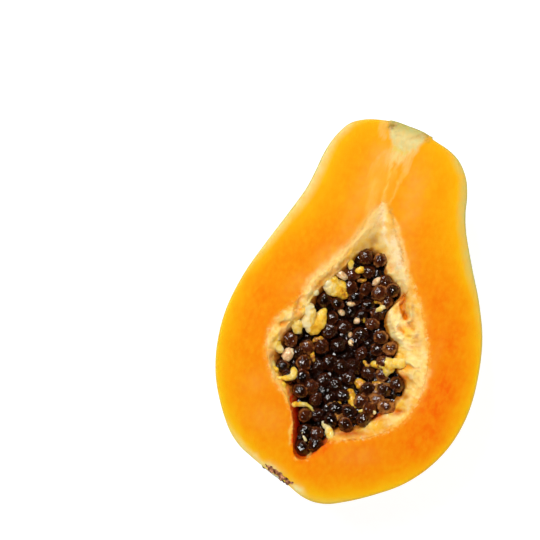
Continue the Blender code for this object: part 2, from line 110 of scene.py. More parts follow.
# The seeds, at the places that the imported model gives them.
MASS_GAP = 0.6
MASS_EDGE_TOP = -5.6
MASS_MIDDLE_TOP = -12.5
SEED_LENGTH = (5.9, 7.2)
SEED_WIDTH_SHARE = (0.8, 0.92)
SEED_LIFT_SHARE = (0.22, 0.44)
SEED_TILT = 0.4
SEED_WRINKLE = 0.13
# Seeds near this middle are painted darker, as painted shade deep in the hollow: the middle, and how far the
# shade spreads.
SHADED_MIDDLE = (-2.0, -22.0)
SHADE_SPREAD = (90.0, 700.0)
DARK_SEEDS = [
    (-4.1, 25.4), (1.4, 25.6), (-1.6, 20), (-7.4, 17.4), (6.2, 18.4), (9.6, 15.8), (5.2, 13.4), (-0.4, 13.4),
    (-6.4, 12), (-3.2, 8.8), (2.4, 7.4), (9, 10.8), (-14.8, 4.4), (-9.4, 4.6), (7.2, 5.2), (6, 0.8),
    (-9.8, -1.4), (-9.4, -6.6), (3, -4.6), (10.8, -3.2), (10.8, -8.4), (15.4, -6.2), (-4.2, -11),
    (5.4, -11.6), (-23, -14.2), (-15.6, -15.4), (4.2, -17.4), (10.4, -17.8), (-0.4, -19.2), (-5.2, -18.6),
    (22.2, -19), (-15.4, -21.6), (-9.4, -21.6), (3.4, -22.4), (-23.2, -25.2), (-14.2, -27), (-5.8, -25.8),
    (-0.6, -26.4), (11.8, -24.2), (18.2, -22.6), (20.6, -28.4), (16.2, -27), (3.2, -29.4), (-13.6, -32.4),
    (-6.6, -34), (-1.4, -32), (2.4, -35.2), (7.2, -34.6), (13.4, -35.6), (7.4, -39.8), (1.4, -40), (-9, -41),
    (-7, -47), (-2.6, -46.6), (-1.6, -50.8), (-6.2, -53.8), (10.6, -29.4), (14.6, -31.6), (-4, -3.4),
    (-10.6, -13.2), (0.8, -8), (-19.4, -18.6), (-4.4, -39.6), (-19, -28.2), (15.6, -17), (1, 2.6),
    (-3.6, 3.4), (-9.8, -29.8), (-4.4, -30), (14.8, -12.2),
]
PALE_SEEDS = [
    (-11.4, 15.8, 5.8, 3, -20), (2.8, 17.4, 4.6, 2.6, 60), (-6.9, 1.8, 3.4, 2.4, -30),
    (-4.2, 6, 3.6, 2.2, 20), (0.2, 0.6, 3.6, 2.6, 55), (-0.9, -5.8, 2.4, 1.8, 80), (0.6, -8.4, 3.6, 3.4, -60),
    (-22.2, -20.2, 5.8, 4.6, 85),
]
PALE_LIFT = 3.0
PALE_HEIGHT = 3.22

# The seeds deeper down, which stand in rows, and the bed between them.
DEEP_ROWS = 22
DEEP_COLUMNS = 14
DEEP_SPACING = (5.0, 4.35)
DEEP_STRAY = 0.9
DEEP_MARGIN = 2.2
BED_SIDES = 160
BED_RINGS = 24
BED_SINK = 1.4
BED_BOTTOM = -19.0

# Torn pulp and strips of lining among the seeds: path, widths along it, how golden each end is, lift.
TONGUES = [
    ([(-15.6, 11.6), (-13.4, 10.4), (-10.8, 9.8), (-7.8, 8.8)], [4.4, 6.6, 6.4, 3.6], (0, 0.95), 0.4),
    ([(-15.8, 13.4), (-13.6, 13.6), (-10.8, 12.2), (-8, 10.6)], [1.8, 2.2, 2, 1.4], (0.3, 0.8), 0.8),
    (
        [(-22.8, 2.8), (-20.8, 1), (-19.2, -2.2), (-18.2, -5.4), (-17, -7.8)],
        [2.8, 4, 5, 5.2, 4], (0.1, 0.1), 0.6,
    ),
    ([(-13.2, 0.8), (-14.2, -2.2), (-15, -5.4), (-15.6, -8.2)], [2.2, 4.6, 6, 4.4], (0.6, 0.8), 0.4),
    ([(-18.2, -1.6), (-17.2, -4.6), (-16.4, -7.8)], [2.2, 4.4, 4], (0.35, 0.7), 0.3),
    ([(-24.2, -5.8), (-22.8, -8), (-21, -10)], [3, 4.4, 3], (0.3, 0.5), 0.2),
    ([(-22.6, 8), (-20.8, 7.2), (-19, 6.4)], [2.6, 3.2, 2.8], (0.15, 0.3), 1),
    ([(-29.2, -14), (-27.8, -17), (-26, -19.4)], [2.6, 3.2, 3], (0.8, 0.3), 0.8),
    ([(-29, -21.4), (-27.4, -24.6), (-25.2, -27.4)], [2, 2.8, 2.4], (0.4, 0.7), 0.8),
    ([(-11.6, 24), (-9.2, 21.2), (-8.6, 19.4)], [1.4, 2.8, 1.8], (0.8, 0.3), 0.2),
    ([(-14, -12.2), (-11.8, -10.6)], [2, 2.4], (1, 1), 0.2),
    ([(-5.6, 19.2), (-4.2, 19.8)], [2.6, 2.6], (0.8, 0.7), 2),
    ([(6.2, 6.2), (7.6, 7.8), (8.8, 8.8)], [1.8, 2.4, 1.4], (0.4, 0.3), 1.6),
    ([(4.8, 9.8), (7, 10)], [1.8, 1.8], (1, 1), 0.6),
    ([(1.6, 2.6), (2.8, 0.8)], [2.2, 2], (1, 1), 0.4),
    ([(11, -14), (14, -12.8), (18, -11.6), (22, -10.2)], [2.4, 4.2, 5.2, 4.2], (0.7, 0.45), 0.3),
    ([(18.2, -13), (16.8, -15.6), (16, -17.4)], [3.8, 3.6, 2.4], (0.6, 0.5), -0.2),
    ([(7.6, -14.6), (9.6, -15.4)], [1.8, 1.6], (1, 1), 0.4),
    (
        [(-14.2, -38.4), (-12, -37.4), (-9.4, -37), (-7, -37.9), (-5.2, -39.8)],
        [2.2, 1.8, 1.6, 1.3, 0.9], (0.6, 0.5), 0.8,
    ),
    ([(-8.6, -46.4), (-7.2, -48.8), (-5.6, -50.2)], [0.8, 1.1, 1.2], (0.3, 0.1), 1.2),
    ([(-3.6, -50.4), (-3, -52.6)], [1.6, 1.8], (1, 1), 0.6),
    ([(-24, -30.4), (-20.8, -29.2), (-18.2, -28), (-18.2, -25.6)], [1.8, 2.2, 3, 2.8], (0.65, 0.5), 1.2),
    ([(-21, -32.4), (-19.8, -34.4)], [2.8, 2.6], (0.9, 0.6), 0.8),
    ([(11.8, -22.4), (15.4, -21.2), (19, -20.8)], [2.2, 3.6, 3], (1.15, 1.35), -0.4),
    ([(7.4, -22.8), (9.8, -23.8), (13.2, -24.6), (17, -25)], [3, 4, 4.2, 3.2], (0.9, 1.45), -0.3),
    ([(5.8, -27.6), (7.4, -30.2), (8.8, -32.4)], [3.2, 4.2, 2.6], (1, 0.6), -0.2),
    ([(10.4, -28), (13, -29.8), (16.2, -29.6)], [3, 3.6, 2.8], (1.3, 1.45), -0.6),
    ([(1.6, -36), (3.4, -38.4), (4.6, -37)], [3, 2.8, 2.2], (1.1, 1.35), -0.2),
    ([(-0.2, -34), (2.8, -33.2)], [2.6, 2.6], (1.2, 1.1), -0.2),
    ([(11.2, -33.4), (13.6, -31.8), (16.6, -31.8)], [1.4, 1.8, 1.8], (0.7, 0.3), 1.2),
    ([(-0.8, -42), (0.8, -43.2), (2.2, -44.8), (3.4, -46.2)], [2, 3, 3.4, 2.6], (0.1, 0.5), 0.8),
    ([(-4.2, 15.6), (-1.6, 16.6)], [1.8, 1.4], (1.2, 1), 0.6),
    ([(-12.8, -17.4), (-12, -19.4)], [2, 1.8], (1.1, 1.1), 0.8),
]
TONGUE_THICKNESS = 3.0
TONGUE_LIFT = 2.2
MOST_GOLD = 1.5

# The flesh: how far in from the rind its colours still change, and the tint of all of it.
BAND_REACH = 20.0
FLESH_TINT = (0.91, 1.0, 1.0, 1.0)

# The room and the camera, in metres.
FLOOR_SIZE = 4.0
FLOOR_GLOW = 0.88
ROOM_GLOW = 0.15
CAMERA_HEIGHT = 0.9
CAMERA_TURN = 17
VIEW_MIDDLE = (-0.0386, 0.0094)
VIEW_WIDTH = 0.2106
SENSOR_WIDTH = 36.0

# Lumps that stand up from the lining and pockets sunk into it: x, y, length, width, turn, height.
LINING_RELIEF = [
    (-22.4, 5, 8, 4.2, 60, 1.4), (-24.6, -4.4, 8, 4.4, 60, 1.2), (14.8, 8.6, 9, 4, -65, 1.4),
    (16.4, 1, 9, 4.4, -50, 1.6), (22, -5.4, 9, 4.6, -70, 1.4), (25.6, -11.4, 8, 4.4, -60, 1.2),
    (18.4, 12, 6, 3.2, -60, 1.2), (-29.4, -14.8, 6.6, 3, 85, 1), (21.8, 3.4, 8, 4, -60, 1),
    (27.6, -4.4, 7, 3.6, -75, 1), (12, -43.2, 7, 2.6, 25, 1), (23.6, -33.6, 7, 3, 50, 1),
    (28.2, -23.6, 8, 3.2, 85, 1), (16.6, 8.4, 6, 1.8, -65, -2.2), (20.6, 4.2, 4, 2.4, -60, -1.6),
    (-23.6, -3, 4, 2.6, 50, -1.8), (-27.6, -9.4, 3.6, 2.4, 60, -1.4), (-27.6, -22.4, 3.6, 3, 85, -1),
    (25.4, -29.2, 4.4, 2.2, 15, -2), (24.2, -22.8, 5, 2.4, 10, -1.6), (22, -11.6, 7, 1.8, 15, -1.2),
]
# Folds of the lining that stand up, or are sunk: path, width, height.
LINING_FOLDS = [
    ([(-8, 36), (-11, 29.5), (-14.4, 22), (-18.6, 14.6), (-22, 8), (-24, 2)], 1.6, 0.5),
    ([(14.4, 15.6), (15, 12), (15.6, 9), (17.4, 6.6)], 1, -1.6),
    ([(10, 10), (12, 5.6), (14.6, 1.4), (17.6, -1.6)], 1.3, 1.4),
    ([(16, 2.2), (18.8, 1.2)], 0.9, -1),
    ([(17, 12.4), (19.4, 9), (19, 6.4)], 1.1, 1.2),
    ([(20.4, -12.6), (24, -11.4), (27.6, -10.6)], 0.9, -0.4),
    ([(-24.6, -1.4), (-23.8, 3), (-21.6, 8.4), (-19.6, 12)], 1.2, -0.8),
    ([(-26.4, -17), (-28, -13), (-26, -9)], 1.2, 1),
    ([(27, -24.6), (24, -24.4)], 1.2, 1),
]

# Soft ovals on the cut face and the lining: x, y, length, width, turn, strength.
OVALS = {
    "blush": [
        (39.5, -22, 15, 44, 0, 1), (36, 4, 16, 26, 0, 0.6), (30, 18, 14, 20, 30, 0.35),
        (-40, -2, 14, 22, 0, 0.4), (-35, 14, 10, 20, -30, 0.25), (33, -40, 20, 16, 40, 0.7),
        (18, -52, 26, 12, 20, 0.45), (0, -61, 20, 10, 0, 0.2), (1.2, -52, 3, 9, -35, 1),
        (-3.6, -58, 8, 2.4, 20, 0.5), (12, 40, 12, 20, 10, 0.15),
    ],
    "peach": [
        (-27, 8, 12, 6, 60, 0.45), (-19, 22, 16, 6, 62, 0.7), (-14, 34, 12, 6, 75, 0.6),
        (6.5, 52, 8, 26, 5, 0.9), (-13, 50, 8, 34, -4, 0.6), (-8, 55, 9, 26, 0, 0.7),
        (12, 30, 6, 18, 25, 0.5), (-23, -46, 14, 10, 0, 0.4), (6, 60, 8, 10, 0, 0.7), (-5, 50, 6, 12, 0, 0.6),
        (15, -50, 16, 8, 15, 0.35), (-31, -34, 10, 8, 50, 0.4), (4, 62, 8, 8, 0, 0.5),
        (-12, 62, 8, 14, 0, 0.4), (24, 10, 4, 16, 30, 0.4), (33, -12, 3, 26, 0, 0.35),
    ],
    "stem_cream": [
        (-9, 57, 7, 20, 0, 0.25), (-4, 58, 5, 16, 0, 0.25), (-8, 64, 8, 10, 20, 0.3),
    ],
    "stem_brown": [
        (-9.2, 76.8, 5, 3, 20, 1), (-10, 78.2, 5, 1.6, 10, 0.8), (4.4, 77, 4.4, 3, -30, 1),
        (1.2, 76.2, 3, 1.6, 40, 0.6), (-0.6, 74.6, 2.4, 1.2, 60, 0.5), (-6.6, 74.8, 2, 1.2, -40, 0.4),
    ],
    "scar_pale": [
        (-22, -62.6, 12, 2.6, -18, 0.7), (-15.4, -64.2, 8, 3, -12, 0.7), (-3.6, -69, 6, 3, -25, 0.9),
    ],
    # red: painted reddish shade beside the seeds and on the hollow's wall, partly the flesh's own deeper red
    "red": [
        (23.6, -15.8, 5, 3.6, -50, 0.45), (18, -32.4, 5, 3.4, 40, 0.8), (-25.8, -12, 3.4, 4.4, 0, 0.3),
        (-18.8, -31, 6, 2.4, -20, 0.3), (9.4, -42.4, 9, 2.4, 15, 0.8), (-27, -22.6, 3, 3.6, 0, 0.2),
        (25.4, -28.8, 3.6, 2.4, 40, 0.2), (13.6, 13.4, 3, 3, 0, 0.2), (6.6, 23.6, 8, 2.6, -60, 0.15),
        (-7, 27, 2.4, 5, -20, 0.3), (3.8, 27.4, 4, 2, -45, 0.25),
    ],
    "lining_white": [
        (-3.8, 43, 4, 10, 0, 1), (8.2, 28, 22, 7, -60, 1), (4.6, 33.6, 8, 4, -58, 1), (20, 8, 5, 3, -60, 0.6),
        (28, -7, 16, 5, -72, 1), (24.8, 4.6, 12, 3.6, -60, 0.6), (29.4, -16, 14, 4.4, 86, 0.95),
        (-25.6, -12, 5, 7, 0, 0.6), (26, -31, 8, 3, 48, 0.7), (13, 18.6, 8, 4, -50, 0.6),
        (11.4, 6.4, 6, 2, -60, 0.8), (14.6, 0.6, 6, 2, -55, 0.7),
    ],
    "lining_gold": [
        (18, 11, 9, 4, -60, 0.9), (13, 5, 8, 3, -70, 0.5), (19, -9, 12, 4.4, 15, 1),
        (26, -12.4, 8, 3, 10, 0.5), (-23, -7.6, 7, 4.4, -40, 1), (-11, 22.6, 10, 2.6, 62, 0.8),
        (-29.2, -15.6, 4, 9, 0, 1), (25, -26, 7, 4, 0, 0.8), (-20, -32, 6, 4, 40, 0.5),
        (14, -41, 10, 4, 25, 0.8), (20.6, 0.6, 7, 4, -50, 0.8), (-8.4, 29, 7, 2.4, 66, 0.5),
        (1.6, 38.6, 4, 9, 14, 0.6), (20.6, -36.6, 9, 4, 40, 0.9), (-25.2, 0.6, 4, 6, 0, 0.9),
        (24, -1.4, 5, 4, 0, 0.6), (-21, 10.4, 6, 2.4, 60, 0.7), (8.4, -44.2, 8, 2.4, 12, 0.6),
        (-26.4, -6.2, 5, 4, 0, 0.6), (-30.2, -11, 3, 4, 0, 0.5), (-30.2, -19.6, 3, 6, 10, 0.7),
        (-25.4, -29.6, 7, 3, -50, 0.6),
    ],
    # olive: painted shade on the slope at the hollow's top end
    "olive": [
        (-3, 32, 5, 8, -15, 1), (-5, 29.6, 5, 5, 0, 0.5), (0.6, 30, 4, 5, 0, 0.4), (-3, 36.6, 3, 8, 0, 0.4),
    ],
    # amber: painted shade in the lining's pockets and sunk folds
    "amber": [
        (20.5, 4.8, 3.6, 2.8, -30, 0.8), (23, -3.6, 3.4, 2.2, 0, 0.6), (12.8, 13.4, 4.4, 3, 0, 0.9),
        (13.6, 10, 3, 5, 0, 0.6), (-22.8, -4.2, 5.4, 3, -20, 0.9), (-18.8, -10, 4, 3, 0, 0.9),
        (-18.4, 9.6, 6, 2.6, 60, 0.9), (-27, -8.6, 3, 3, 0, 0.7), (-26.6, -22, 3.6, 4, 0, 1),
        (26.4, -22.4, 4.4, 2.2, 10, 1), (25.2, -28.8, 3.4, 2.2, 40, 1), (20.6, -33.6, 5, 2, 35, 0.5),
        (17.8, -32.2, 4.4, 3, 40, 1), (-19.4, -30.6, 6, 2, -10, 1), (23.6, -15.8, 4.4, 3, -50, 1),
        (9.6, -42.6, 8, 2, 15, 0.7), (-27, -13.4, 3, 4, 0, 0.5), (14, -41.4, 12, 3.6, 22, 0.6),
        (8, -43.6, 8, 2.8, 14, 0.9), (22, -36, 8, 3.4, 42, 0.5), (24.4, 0.4, 7, 4, -60, 0.5),
        (21.4, 6.4, 6, 4, -60, 0.4), (28.8, -24, 5, 4, 80, 0.4), (3.2, -46.2, 4, 2.4, 0, 0.4),
        (-28.6, -22, 4, 5, 0, 1), (18, 13, 6, 3, -60, 0.5), (16.2, 17.2, 5, 3, -50, 0.6),
        (21.4, 9.6, 3, 1.6, -60, 0.5), (26, -2, 3, 1.6, -60, 0.4), (27, -16, 3.4, 1.6, 20, 0.5),
        (29, -25.6, 3, 1.6, 30, 0.4), (2.2, 38.4, 3, 6, 20, 0.35),
    ],
    "pale_edge": [
        (-33, 50, 16, 56, -3, 1), (27, 56, 14, 44, 10, 1), (35, 35, 12, 36, 32, 0.9),
        (-40, 26, 12, 34, -28, 0.7), (22, 70, 14, 12, 0, 0.9), (-28, 70, 12, 12, 0, 0.7),
        (43, 18, 9, 26, 25, 0.4), (8, -70, 34, 8, 5, 0.4), (-30, -59, 20, 8, -35, 0.6),
    ],
    "green_line": [
        (28, 56, 10, 50, 10, 1), (38, 30, 12, 44, 30, 1), (48, 8, 8, 40, 15, 0.8), (51, -20, 8, 40, 0, 0.5),
        (-33, 52, 8, 40, -3, 0.8), (-38, 34, 8, 20, -22, 0.6), (44, -46, 10, 24, 40, 0.3),
        (20, -66, 44, 10, 25, 0.3), (20, 72, 24, 8, -20, 0.9), (-26, 73, 16, 8, 40, 0.5),
        (-3, 79, 20, 4, -5, 1),
    ],
}
# Soft lines there: path, width, strength.
LINES = {
    "lining_white": [
        ([(-1.6, 42), (-1, 38), (0.4, 34.8), (2.8, 32)], 1, 1),
        ([(-29.6, -8), (-30.8, -14), (-29.6, -21), (-25.6, -28.6), (-20.6, -33.6)], 1, 0.3),
    ],
    "lip": [
        (
            [(-5.6, 43.5), (-7, 38), (-8.5, 34), (-11.2, 28.6), (-15.4, 21.6), (-19.4, 15), (-22.4, 9.6)],
            1.6, 1,
        ),
        ([(-22.6, 9.2), (-23.6, 6.4)], 1.2, 0.8),
        ([(-30, -7), (-31.2, -12), (-30.6, -18), (-28.4, -24), (-25.2, -29.2), (-20.6, -33.2)], 1.3, 0.3),
        ([(3.4, 41.2), (6, 37), (8.6, 32.4), (12.2, 26)], 0.9, 0.6),
        ([(32.2, -10), (32.2, -16), (31.6, -20)], 0.9, 0.6),
    ],
    "tan": [
        ([(-0.8, 46.2), (1.8, 41.6), (4.4, 37), (7, 32.8), (9.8, 28)], 0.6, 0.7),
        ([(-6.2, 44.8), (-7.9, 39.4), (-9.6, 34), (-13, 26.8)], 0.5, 0.5),
        ([(-3.2, 45.4), (-4.6, 39.4), (-5.4, 35)], 0.6, 0.5),
        ([(-8.2, 27.4), (-11.8, 21.4), (-15.6, 15.2), (-18.2, 11)], 0.6, 0.5),
    ],
    # amber lines: painted shade along the sunk folds of the lining
    "amber": [
        ([(14.4, 15.6), (15, 12), (15.6, 9), (17.4, 6.6)], 0.8, 1),
        ([(16, 2.2), (18.8, 1.2)], 0.7, 0.9),
        ([(20.4, -12.6), (24, -11.4), (27.6, -10.6)], 0.7, 0.6),
        ([(-24.6, -1.4), (-23.8, 3)], 0.8, 0.9),
        ([(-10.2, 22.8), (-13.4, 17.6), (-17.2, 12.4), (-18.4, 8.4)], 1, 0.8),
    ],
    "strand": [
        ([(-4.6, 54), (-4.2, 49), (-3.4, 44)], 0.5, 0.8),
        ([(-0.4, 57), (-1.4, 50), (-2.4, 45)], 0.5, 0.5),
        ([(-9.8, 54), (-8.8, 47), (-8.2, 40), (-10, 34)], 1.8, 0.45),
        ([(2, 43), (6.6, 36), (10.6, 29), (15.4, 22)], 0.7, 0.4),
        ([(-19.6, -34.6), (-16.6, -37.2), (-14.5, -39.8), (-13.2, -44), (-12, -49), (-11.3, -53)], 0.6, 1),
    ],
}
# Bands there: a path of (x, y, half width), and a strength.
BANDS = {
    "stem_green": [
        ([(-2.6, 80, 8.4), (-2.7, 77.6, 7.6), (-2.9, 75.6, 6.4), (-3.2, 73.6, 4.6)], 1),
    ],
    "stem_cream": [
        ([(-3, 76, 5.8), (-3, 73.4, 5), (-3.2, 70.6, 4.4), (-3.8, 67.8, 3.6), (-4.4, 65.4, 2.4)], 1),
        ([(-6.6, 69, 1.6), (-8.8, 65.4, 1.6), (-11, 61, 1.6), (-12.2, 56.6, 1.2)], 0.4),
        ([(1.2, 71.6, 1.8), (0.6, 68, 1.8), (0.4, 64.6, 1.4), (0.4, 61.6, 1), (-0.2, 57, 0.7)], 0.6),
        ([(-5.8, 66, 1.2), (-5.4, 61.6, 0.7), (-5, 57, 0.6), (-4.6, 52.6, 0.4)], 0.9),
        ([(-7.2, 68, 1), (-7.6, 64, 0.6), (-7, 60.4, 0.5)], 0.5),
        ([(-2.4, 67, 1.2), (-3.2, 63, 0.7), (-3, 59.4, 0.5)], 0.5),
        ([(-12.8, 76.6, 1.8), (-12.2, 74, 1.6), (-11, 71.6, 1)], 0.35),
    ],
    "yellow_dash": [
        ([(-6.8, 68.8, 0.7), (-5, 69.2, 1.2), (-2.6, 69.4, 1), (-1, 69.2, 0.5)], 1),
    ],
    "scar_pale": [
        ([(-18, -63.4, 0.6), (-15.6, -63.6, 1.1), (-12.4, -64.2, 0.7)], 0.4),
    ],
    # red: painted reddish shade down the hollow's wall towards the blossom end
    "red": [
        ([(-19.4, -32.4, 0.6), (-16.6, -35.8, 0.9)], 0.5),
        (
            [(-16.6, -35.8, 0.9), (-14, -39.8, 1.4), (-11.9, -45.6, 1.7), (-10.2, -51.6, 1.9),
             (-8.6, -56, 1.4), (-4, -56.8, 0.8)],
            1,
        ),
        ([(-1.8, -54.4, 1), (0.6, -51.6, 1.2), (2.2, -48, 0.8)], 0.9),
        ([(-13, -37, 1.6), (-11.4, -42, 2.4), (-9.6, -48, 2.4), (-8.6, -53, 1.6)], 1),
    ],
}
MARK_NAMES = sorted({*OVALS, *LINES, *BANDS})


def smooth_curve(points, steps, closed=False):
    """Points on a smooth curve through the given ones, with this many steps between each two of them."""
    pts = np.asarray(points, float)
    count = len(pts)
    spans = count if closed else count - 1
    out = []
    for i in range(spans):
        around = [(i + j) % count if closed else min(max(i + j, 0), count - 1) for j in (-1, 0, 1, 2)]
        p0, p1, p2, p3 = pts[around]
        for t in np.arange(steps) / steps:
            bent = 2 * p1 + (p2 - p0) * t + (2 * p0 - 5 * p1 + 4 * p2 - p3) * t**2
            out.append(0.5 * (bent + (3 * p1 - p0 - 3 * p2 + p3) * t**3))
    if not closed:
        out.append(pts[-1])
    return np.array(out)


def polar_edge(outline, inset=0.0):
    """A function that gives the distance of an edge from the hollow's centre, in the directions of angles."""
    curve = smooth_curve(outline, CURVE_STEPS, closed=True)
    along = np.roll(curve, -1, axis=0) - np.roll(curve, 1, axis=0)
    along /= np.hypot(along[:, 0], along[:, 1])[:, None]
    curve = curve + inset * np.column_stack([along[:, 1], -along[:, 0]]) - np.array(HOLLOW_CENTRE)
    angles = np.arctan2(curve[:, 1], curve[:, 0])
    order = np.argsort(angles)
    radii = np.hypot(curve[:, 0], curve[:, 1])[order]
    return lambda angle: np.interp(angle, angles[order], radii, period=2 * math.pi)


rim_radius = polar_edge(RIM_EDGE)
pit_radius = polar_edge(PIT_EDGE)
mass_radius = polar_edge(PIT_EDGE, MASS_GAP)


def smoothstep(low, high, value):
    t = np.clip((np.asarray(value, float) - low) / (high - low), 0.0, 1.0)
    return t * t * (3 - 2 * t)


def noise_at(points, size, seed, detail=1):
    """Soft noise from about -1 to 1 at each point, with lumps of this size."""
    out = np.empty(len(points))
    for i, (x, y, z) in enumerate(points):
        place = Vector((x / size + seed, y / size - seed, z / size + 2 * seed))
        out[i] = noise.noise(place) if detail == 1 else noise.fractal(place, 0.8, 2.1, detail)
    return out


def level(*columns):
    """Points at the height of the cut face from their x and y."""
    flat = np.column_stack(columns)
    return np.column_stack([flat, np.zeros(len(flat))])


def warped(points):
    """The points pushed about a little in the level plane, so that marks placed by them have uneven edges."""
    flat = points * (1, 1, 0)
    return points + 0.8 * level(noise_at(flat, 3.0, 21.0, 2), noise_at(flat, 3.0, 43.0, 2))


def patches(points, places):
    """How strongly each point lies in one of several soft ovals: x, y, length, width, turn, strength."""
    most = np.zeros(len(points))
    for x, y, length, width, turn, strength in places:
        c, s = math.cos(math.radians(turn)), math.sin(math.radians(turn))
        dx, dy = points[:, 0] - x, points[:, 1] - y
        along, across = (dx * c + dy * s) / (length / 2), (dy * c - dx * s) / (width / 2)
        most = np.maximum(most, strength * np.exp(-(along**2) - across**2))
    return most


def distance_to(points, path, widths=1.0):
    """Distance in the level plane from each point to a finely drawn path, counted in its widths."""
    out = np.empty(len(points))
    for start in range(0, len(points), POINTS_AT_ONCE):
        part = points[start : start + POINTS_AT_ONCE, None, :2]
        gaps = np.sqrt(((part - path[None, :, :2]) ** 2).sum(2))
        out[start : start + POINTS_AT_ONCE] = (gaps / widths).min(1)
    return out


def band(points, path):
    """1 inside a band along a path of (x, y, half width), and 0 outside, with a soft edge."""
    return 1 - smoothstep(0.7, 1.25, distance_to(points, path, path[:, 2]))


class Finish:
    """A material, built from nodes with short calls."""

    def __init__(self, name):
        self.material = bpy.data.materials.new(name)
        self.material.use_nodes = True
        self.tree = self.material.node_tree
        self.shader = self.tree.nodes["Principled BSDF"]

    def feed(self, socket, value):
        if isinstance(value, bpy.types.NodeSocket):
            self.tree.links.new(value, socket)
        else:
            socket.default_value = value

    def add(self, kind, inputs, **settings):
        node = self.tree.nodes.new("ShaderNode" + kind)
        for key, value in settings.items():
            setattr(node, key, value)
        for key, value in inputs.items():
            self.feed(node.inputs[key], value)
        return node

    def set(self, **values):
        """Sets the shader's inputs, base_color=..., roughness=..., and so on, and gives the material."""
        for key, value in values.items():
            self.feed(self.shader.inputs[SHADER_INPUTS[key]], value)
        return self.material

    def attribute(self, name):
        return self.add("Attribute", {}, attribute_name=name).outputs["Fac"]

    def place(self):
        """Where a point of the piece lies, in metres."""
        return self.add("TexCoord", {}).outputs["Object"]

    def axis(self, name):
        return self.add("SeparateXYZ", {"Vector": self.place()}).outputs[name]

    def scattered(self, kind, size, stretch=(1, 1, 1), **inputs):
        """A texture whose features have this size in millimetres."""
        scale = tuple(1 / (size * MM * s) for s in stretch)
        place = self.add("Mapping", {"Vector": self.place(), "Scale": scale}).outputs[0]
        return self.add(kind, {"Vector": place, "Scale": 1.0, **inputs})

    def noise(self, size, detail=3.0, roughness=0.5, stretch=(1, 1, 1), distortion=0.0):
        """Noise from 0 to 1."""
        inputs = {"Detail": detail, "Roughness": roughness, "Distortion": distortion}
        return self.scattered("TexNoise", size, stretch, **inputs).outputs[0]

    def cells(self, size):
        """Distance to the nearest of many scattered points, in units of their spacing."""
        return self.scattered("TexVoronoi", size).outputs["Distance"]

    def math(self, operation, a, b):
        return self.add("Math", {0: a, 1: b}, operation=operation).outputs[0]

    def times(self, a, b):
        return self.math("MULTIPLY", a, b)

    def plus(self, a, b):
        return self.math("ADD", a, b)

    def cloud(self, size, low, high, start=0.0, end=1.0, detail=4.0, roughness=0.5):
        """Noise whose range low to high becomes start to end."""
        return self.span(self.noise(size, detail, roughness), low, high, start, end)

    def mark(self, name, *cloud, **settings):
        """How strongly a mark shows, broken up by a cloud."""
        return self.times(self.attribute(name), self.cloud(*cloud, **settings))

    def span(self, value, low, high, start=0.0, end=1.0):
        """Turns the range low to high smoothly into start to end."""
        inputs = {"Value": value, "From Min": low, "From Max": high, "To Min": start, "To Max": end}
        return self.add("MapRange", inputs, interpolation_type="SMOOTHSTEP").outputs[0]

    def mix(self, share, a, b, blend="MIX"):
        node = self.add("Mix", {0: share, 6: a, 7: b}, data_type="RGBA", blend_type=blend)
        return node.outputs[2]

    def ramp(self, value, stops):
        """Colours by value, from stops of a position and a linear colour."""
        node = self.add("ValToRGB", {"Fac": value})
        ramp = node.color_ramp
        for index, (position, colour) in enumerate(stops):
            element = ramp.elements[index] if index < 2 else ramp.elements.new(position)
            element.position = position
            element.color = colour
        return node.outputs[0]

    def tones(self, value, *stops):
        """Colours by value, from stops of a position and a display colour of 0 to 255."""
        return self.ramp(value, [(position, srgb(*colour)) for position, *colour in stops])

    def painted(self, colour, *layers):
        """The colour under layers of a share and a display colour of 0 to 255."""
        for share, *tone in layers:
            colour = self.mix(share, colour, srgb(*tone))
        return colour

    def bump(self, height, depth, strength=1.0, normal=None):
        """A normal from a height in 0 to 1 that stands this many millimetres deep."""
        inputs = {"Height": height, "Distance": depth * MM, "Strength": strength}
        if normal is not None:
            inputs["Normal"] = normal
        return self.add("Bump", inputs).outputs[0]


SHADER_INPUTS = {
    "base_color": "Base Color",
    "roughness": "Roughness",
    "normal": "Normal",
    "specular": "Specular IOR Level",
    "subsurface": "Subsurface Weight",
    "radius": "Subsurface Radius",
    "radius_scale": "Subsurface Scale",
    "coat": "Coat Weight",
    "coat_roughness": "Coat Roughness",
    "coat_normal": "Coat Normal",
    "coat_ior": "Coat IOR",
    "emission": "Emission Color",
    "emission_strength": "Emission Strength",
}


def srgb(red, green, blue):
    """A display colour of 0 to 255 as the linear colour that a shader takes."""
    def linear(value):
        value /= 255
        return value / 12.92 if value <= 0.04045 else ((value + 0.055) / 1.055) ** 2.4

    return (linear(red), linear(green), linear(blue), 1.0)


def mesh_object(name, points, faces, slot, replaced, materials, face_materials=None, sharp=None):
    """A piece from points in millimetres, which rides on the fruit's one body."""
    raised = np.asarray(points, float) + (0, 0, CUT_HEIGHT)
    mesh = bpy.data.meshes.new(name)
    mesh.from_pydata((raised * MM).tolist(), [], faces)
    for material in materials:
        mesh.materials.append(material)
    if face_materials is not None:
        mesh.polygons.foreach_set("material_index", face_materials)
    bm = bmesh.new()
    bm.from_mesh(mesh)
    bmesh.ops.recalc_face_normals(bm, faces=bm.faces)
    bm.to_mesh(mesh)
    bm.free()
    mesh.shade_smooth()
    if sharp is not None:
        mesh.set_sharp_from_angle(angle=math.radians(sharp))
    obj = bpy.data.objects.new(name, mesh)
    bpy.context.scene.collection.objects.link(obj)
    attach(obj, BODY)
    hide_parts(*replaced)
    return obj


def put_attribute(obj, name, values):
    obj.data.attributes.new(name, "FLOAT", "POINT").data.foreach_set("value", np.asarray(values, np.float32))


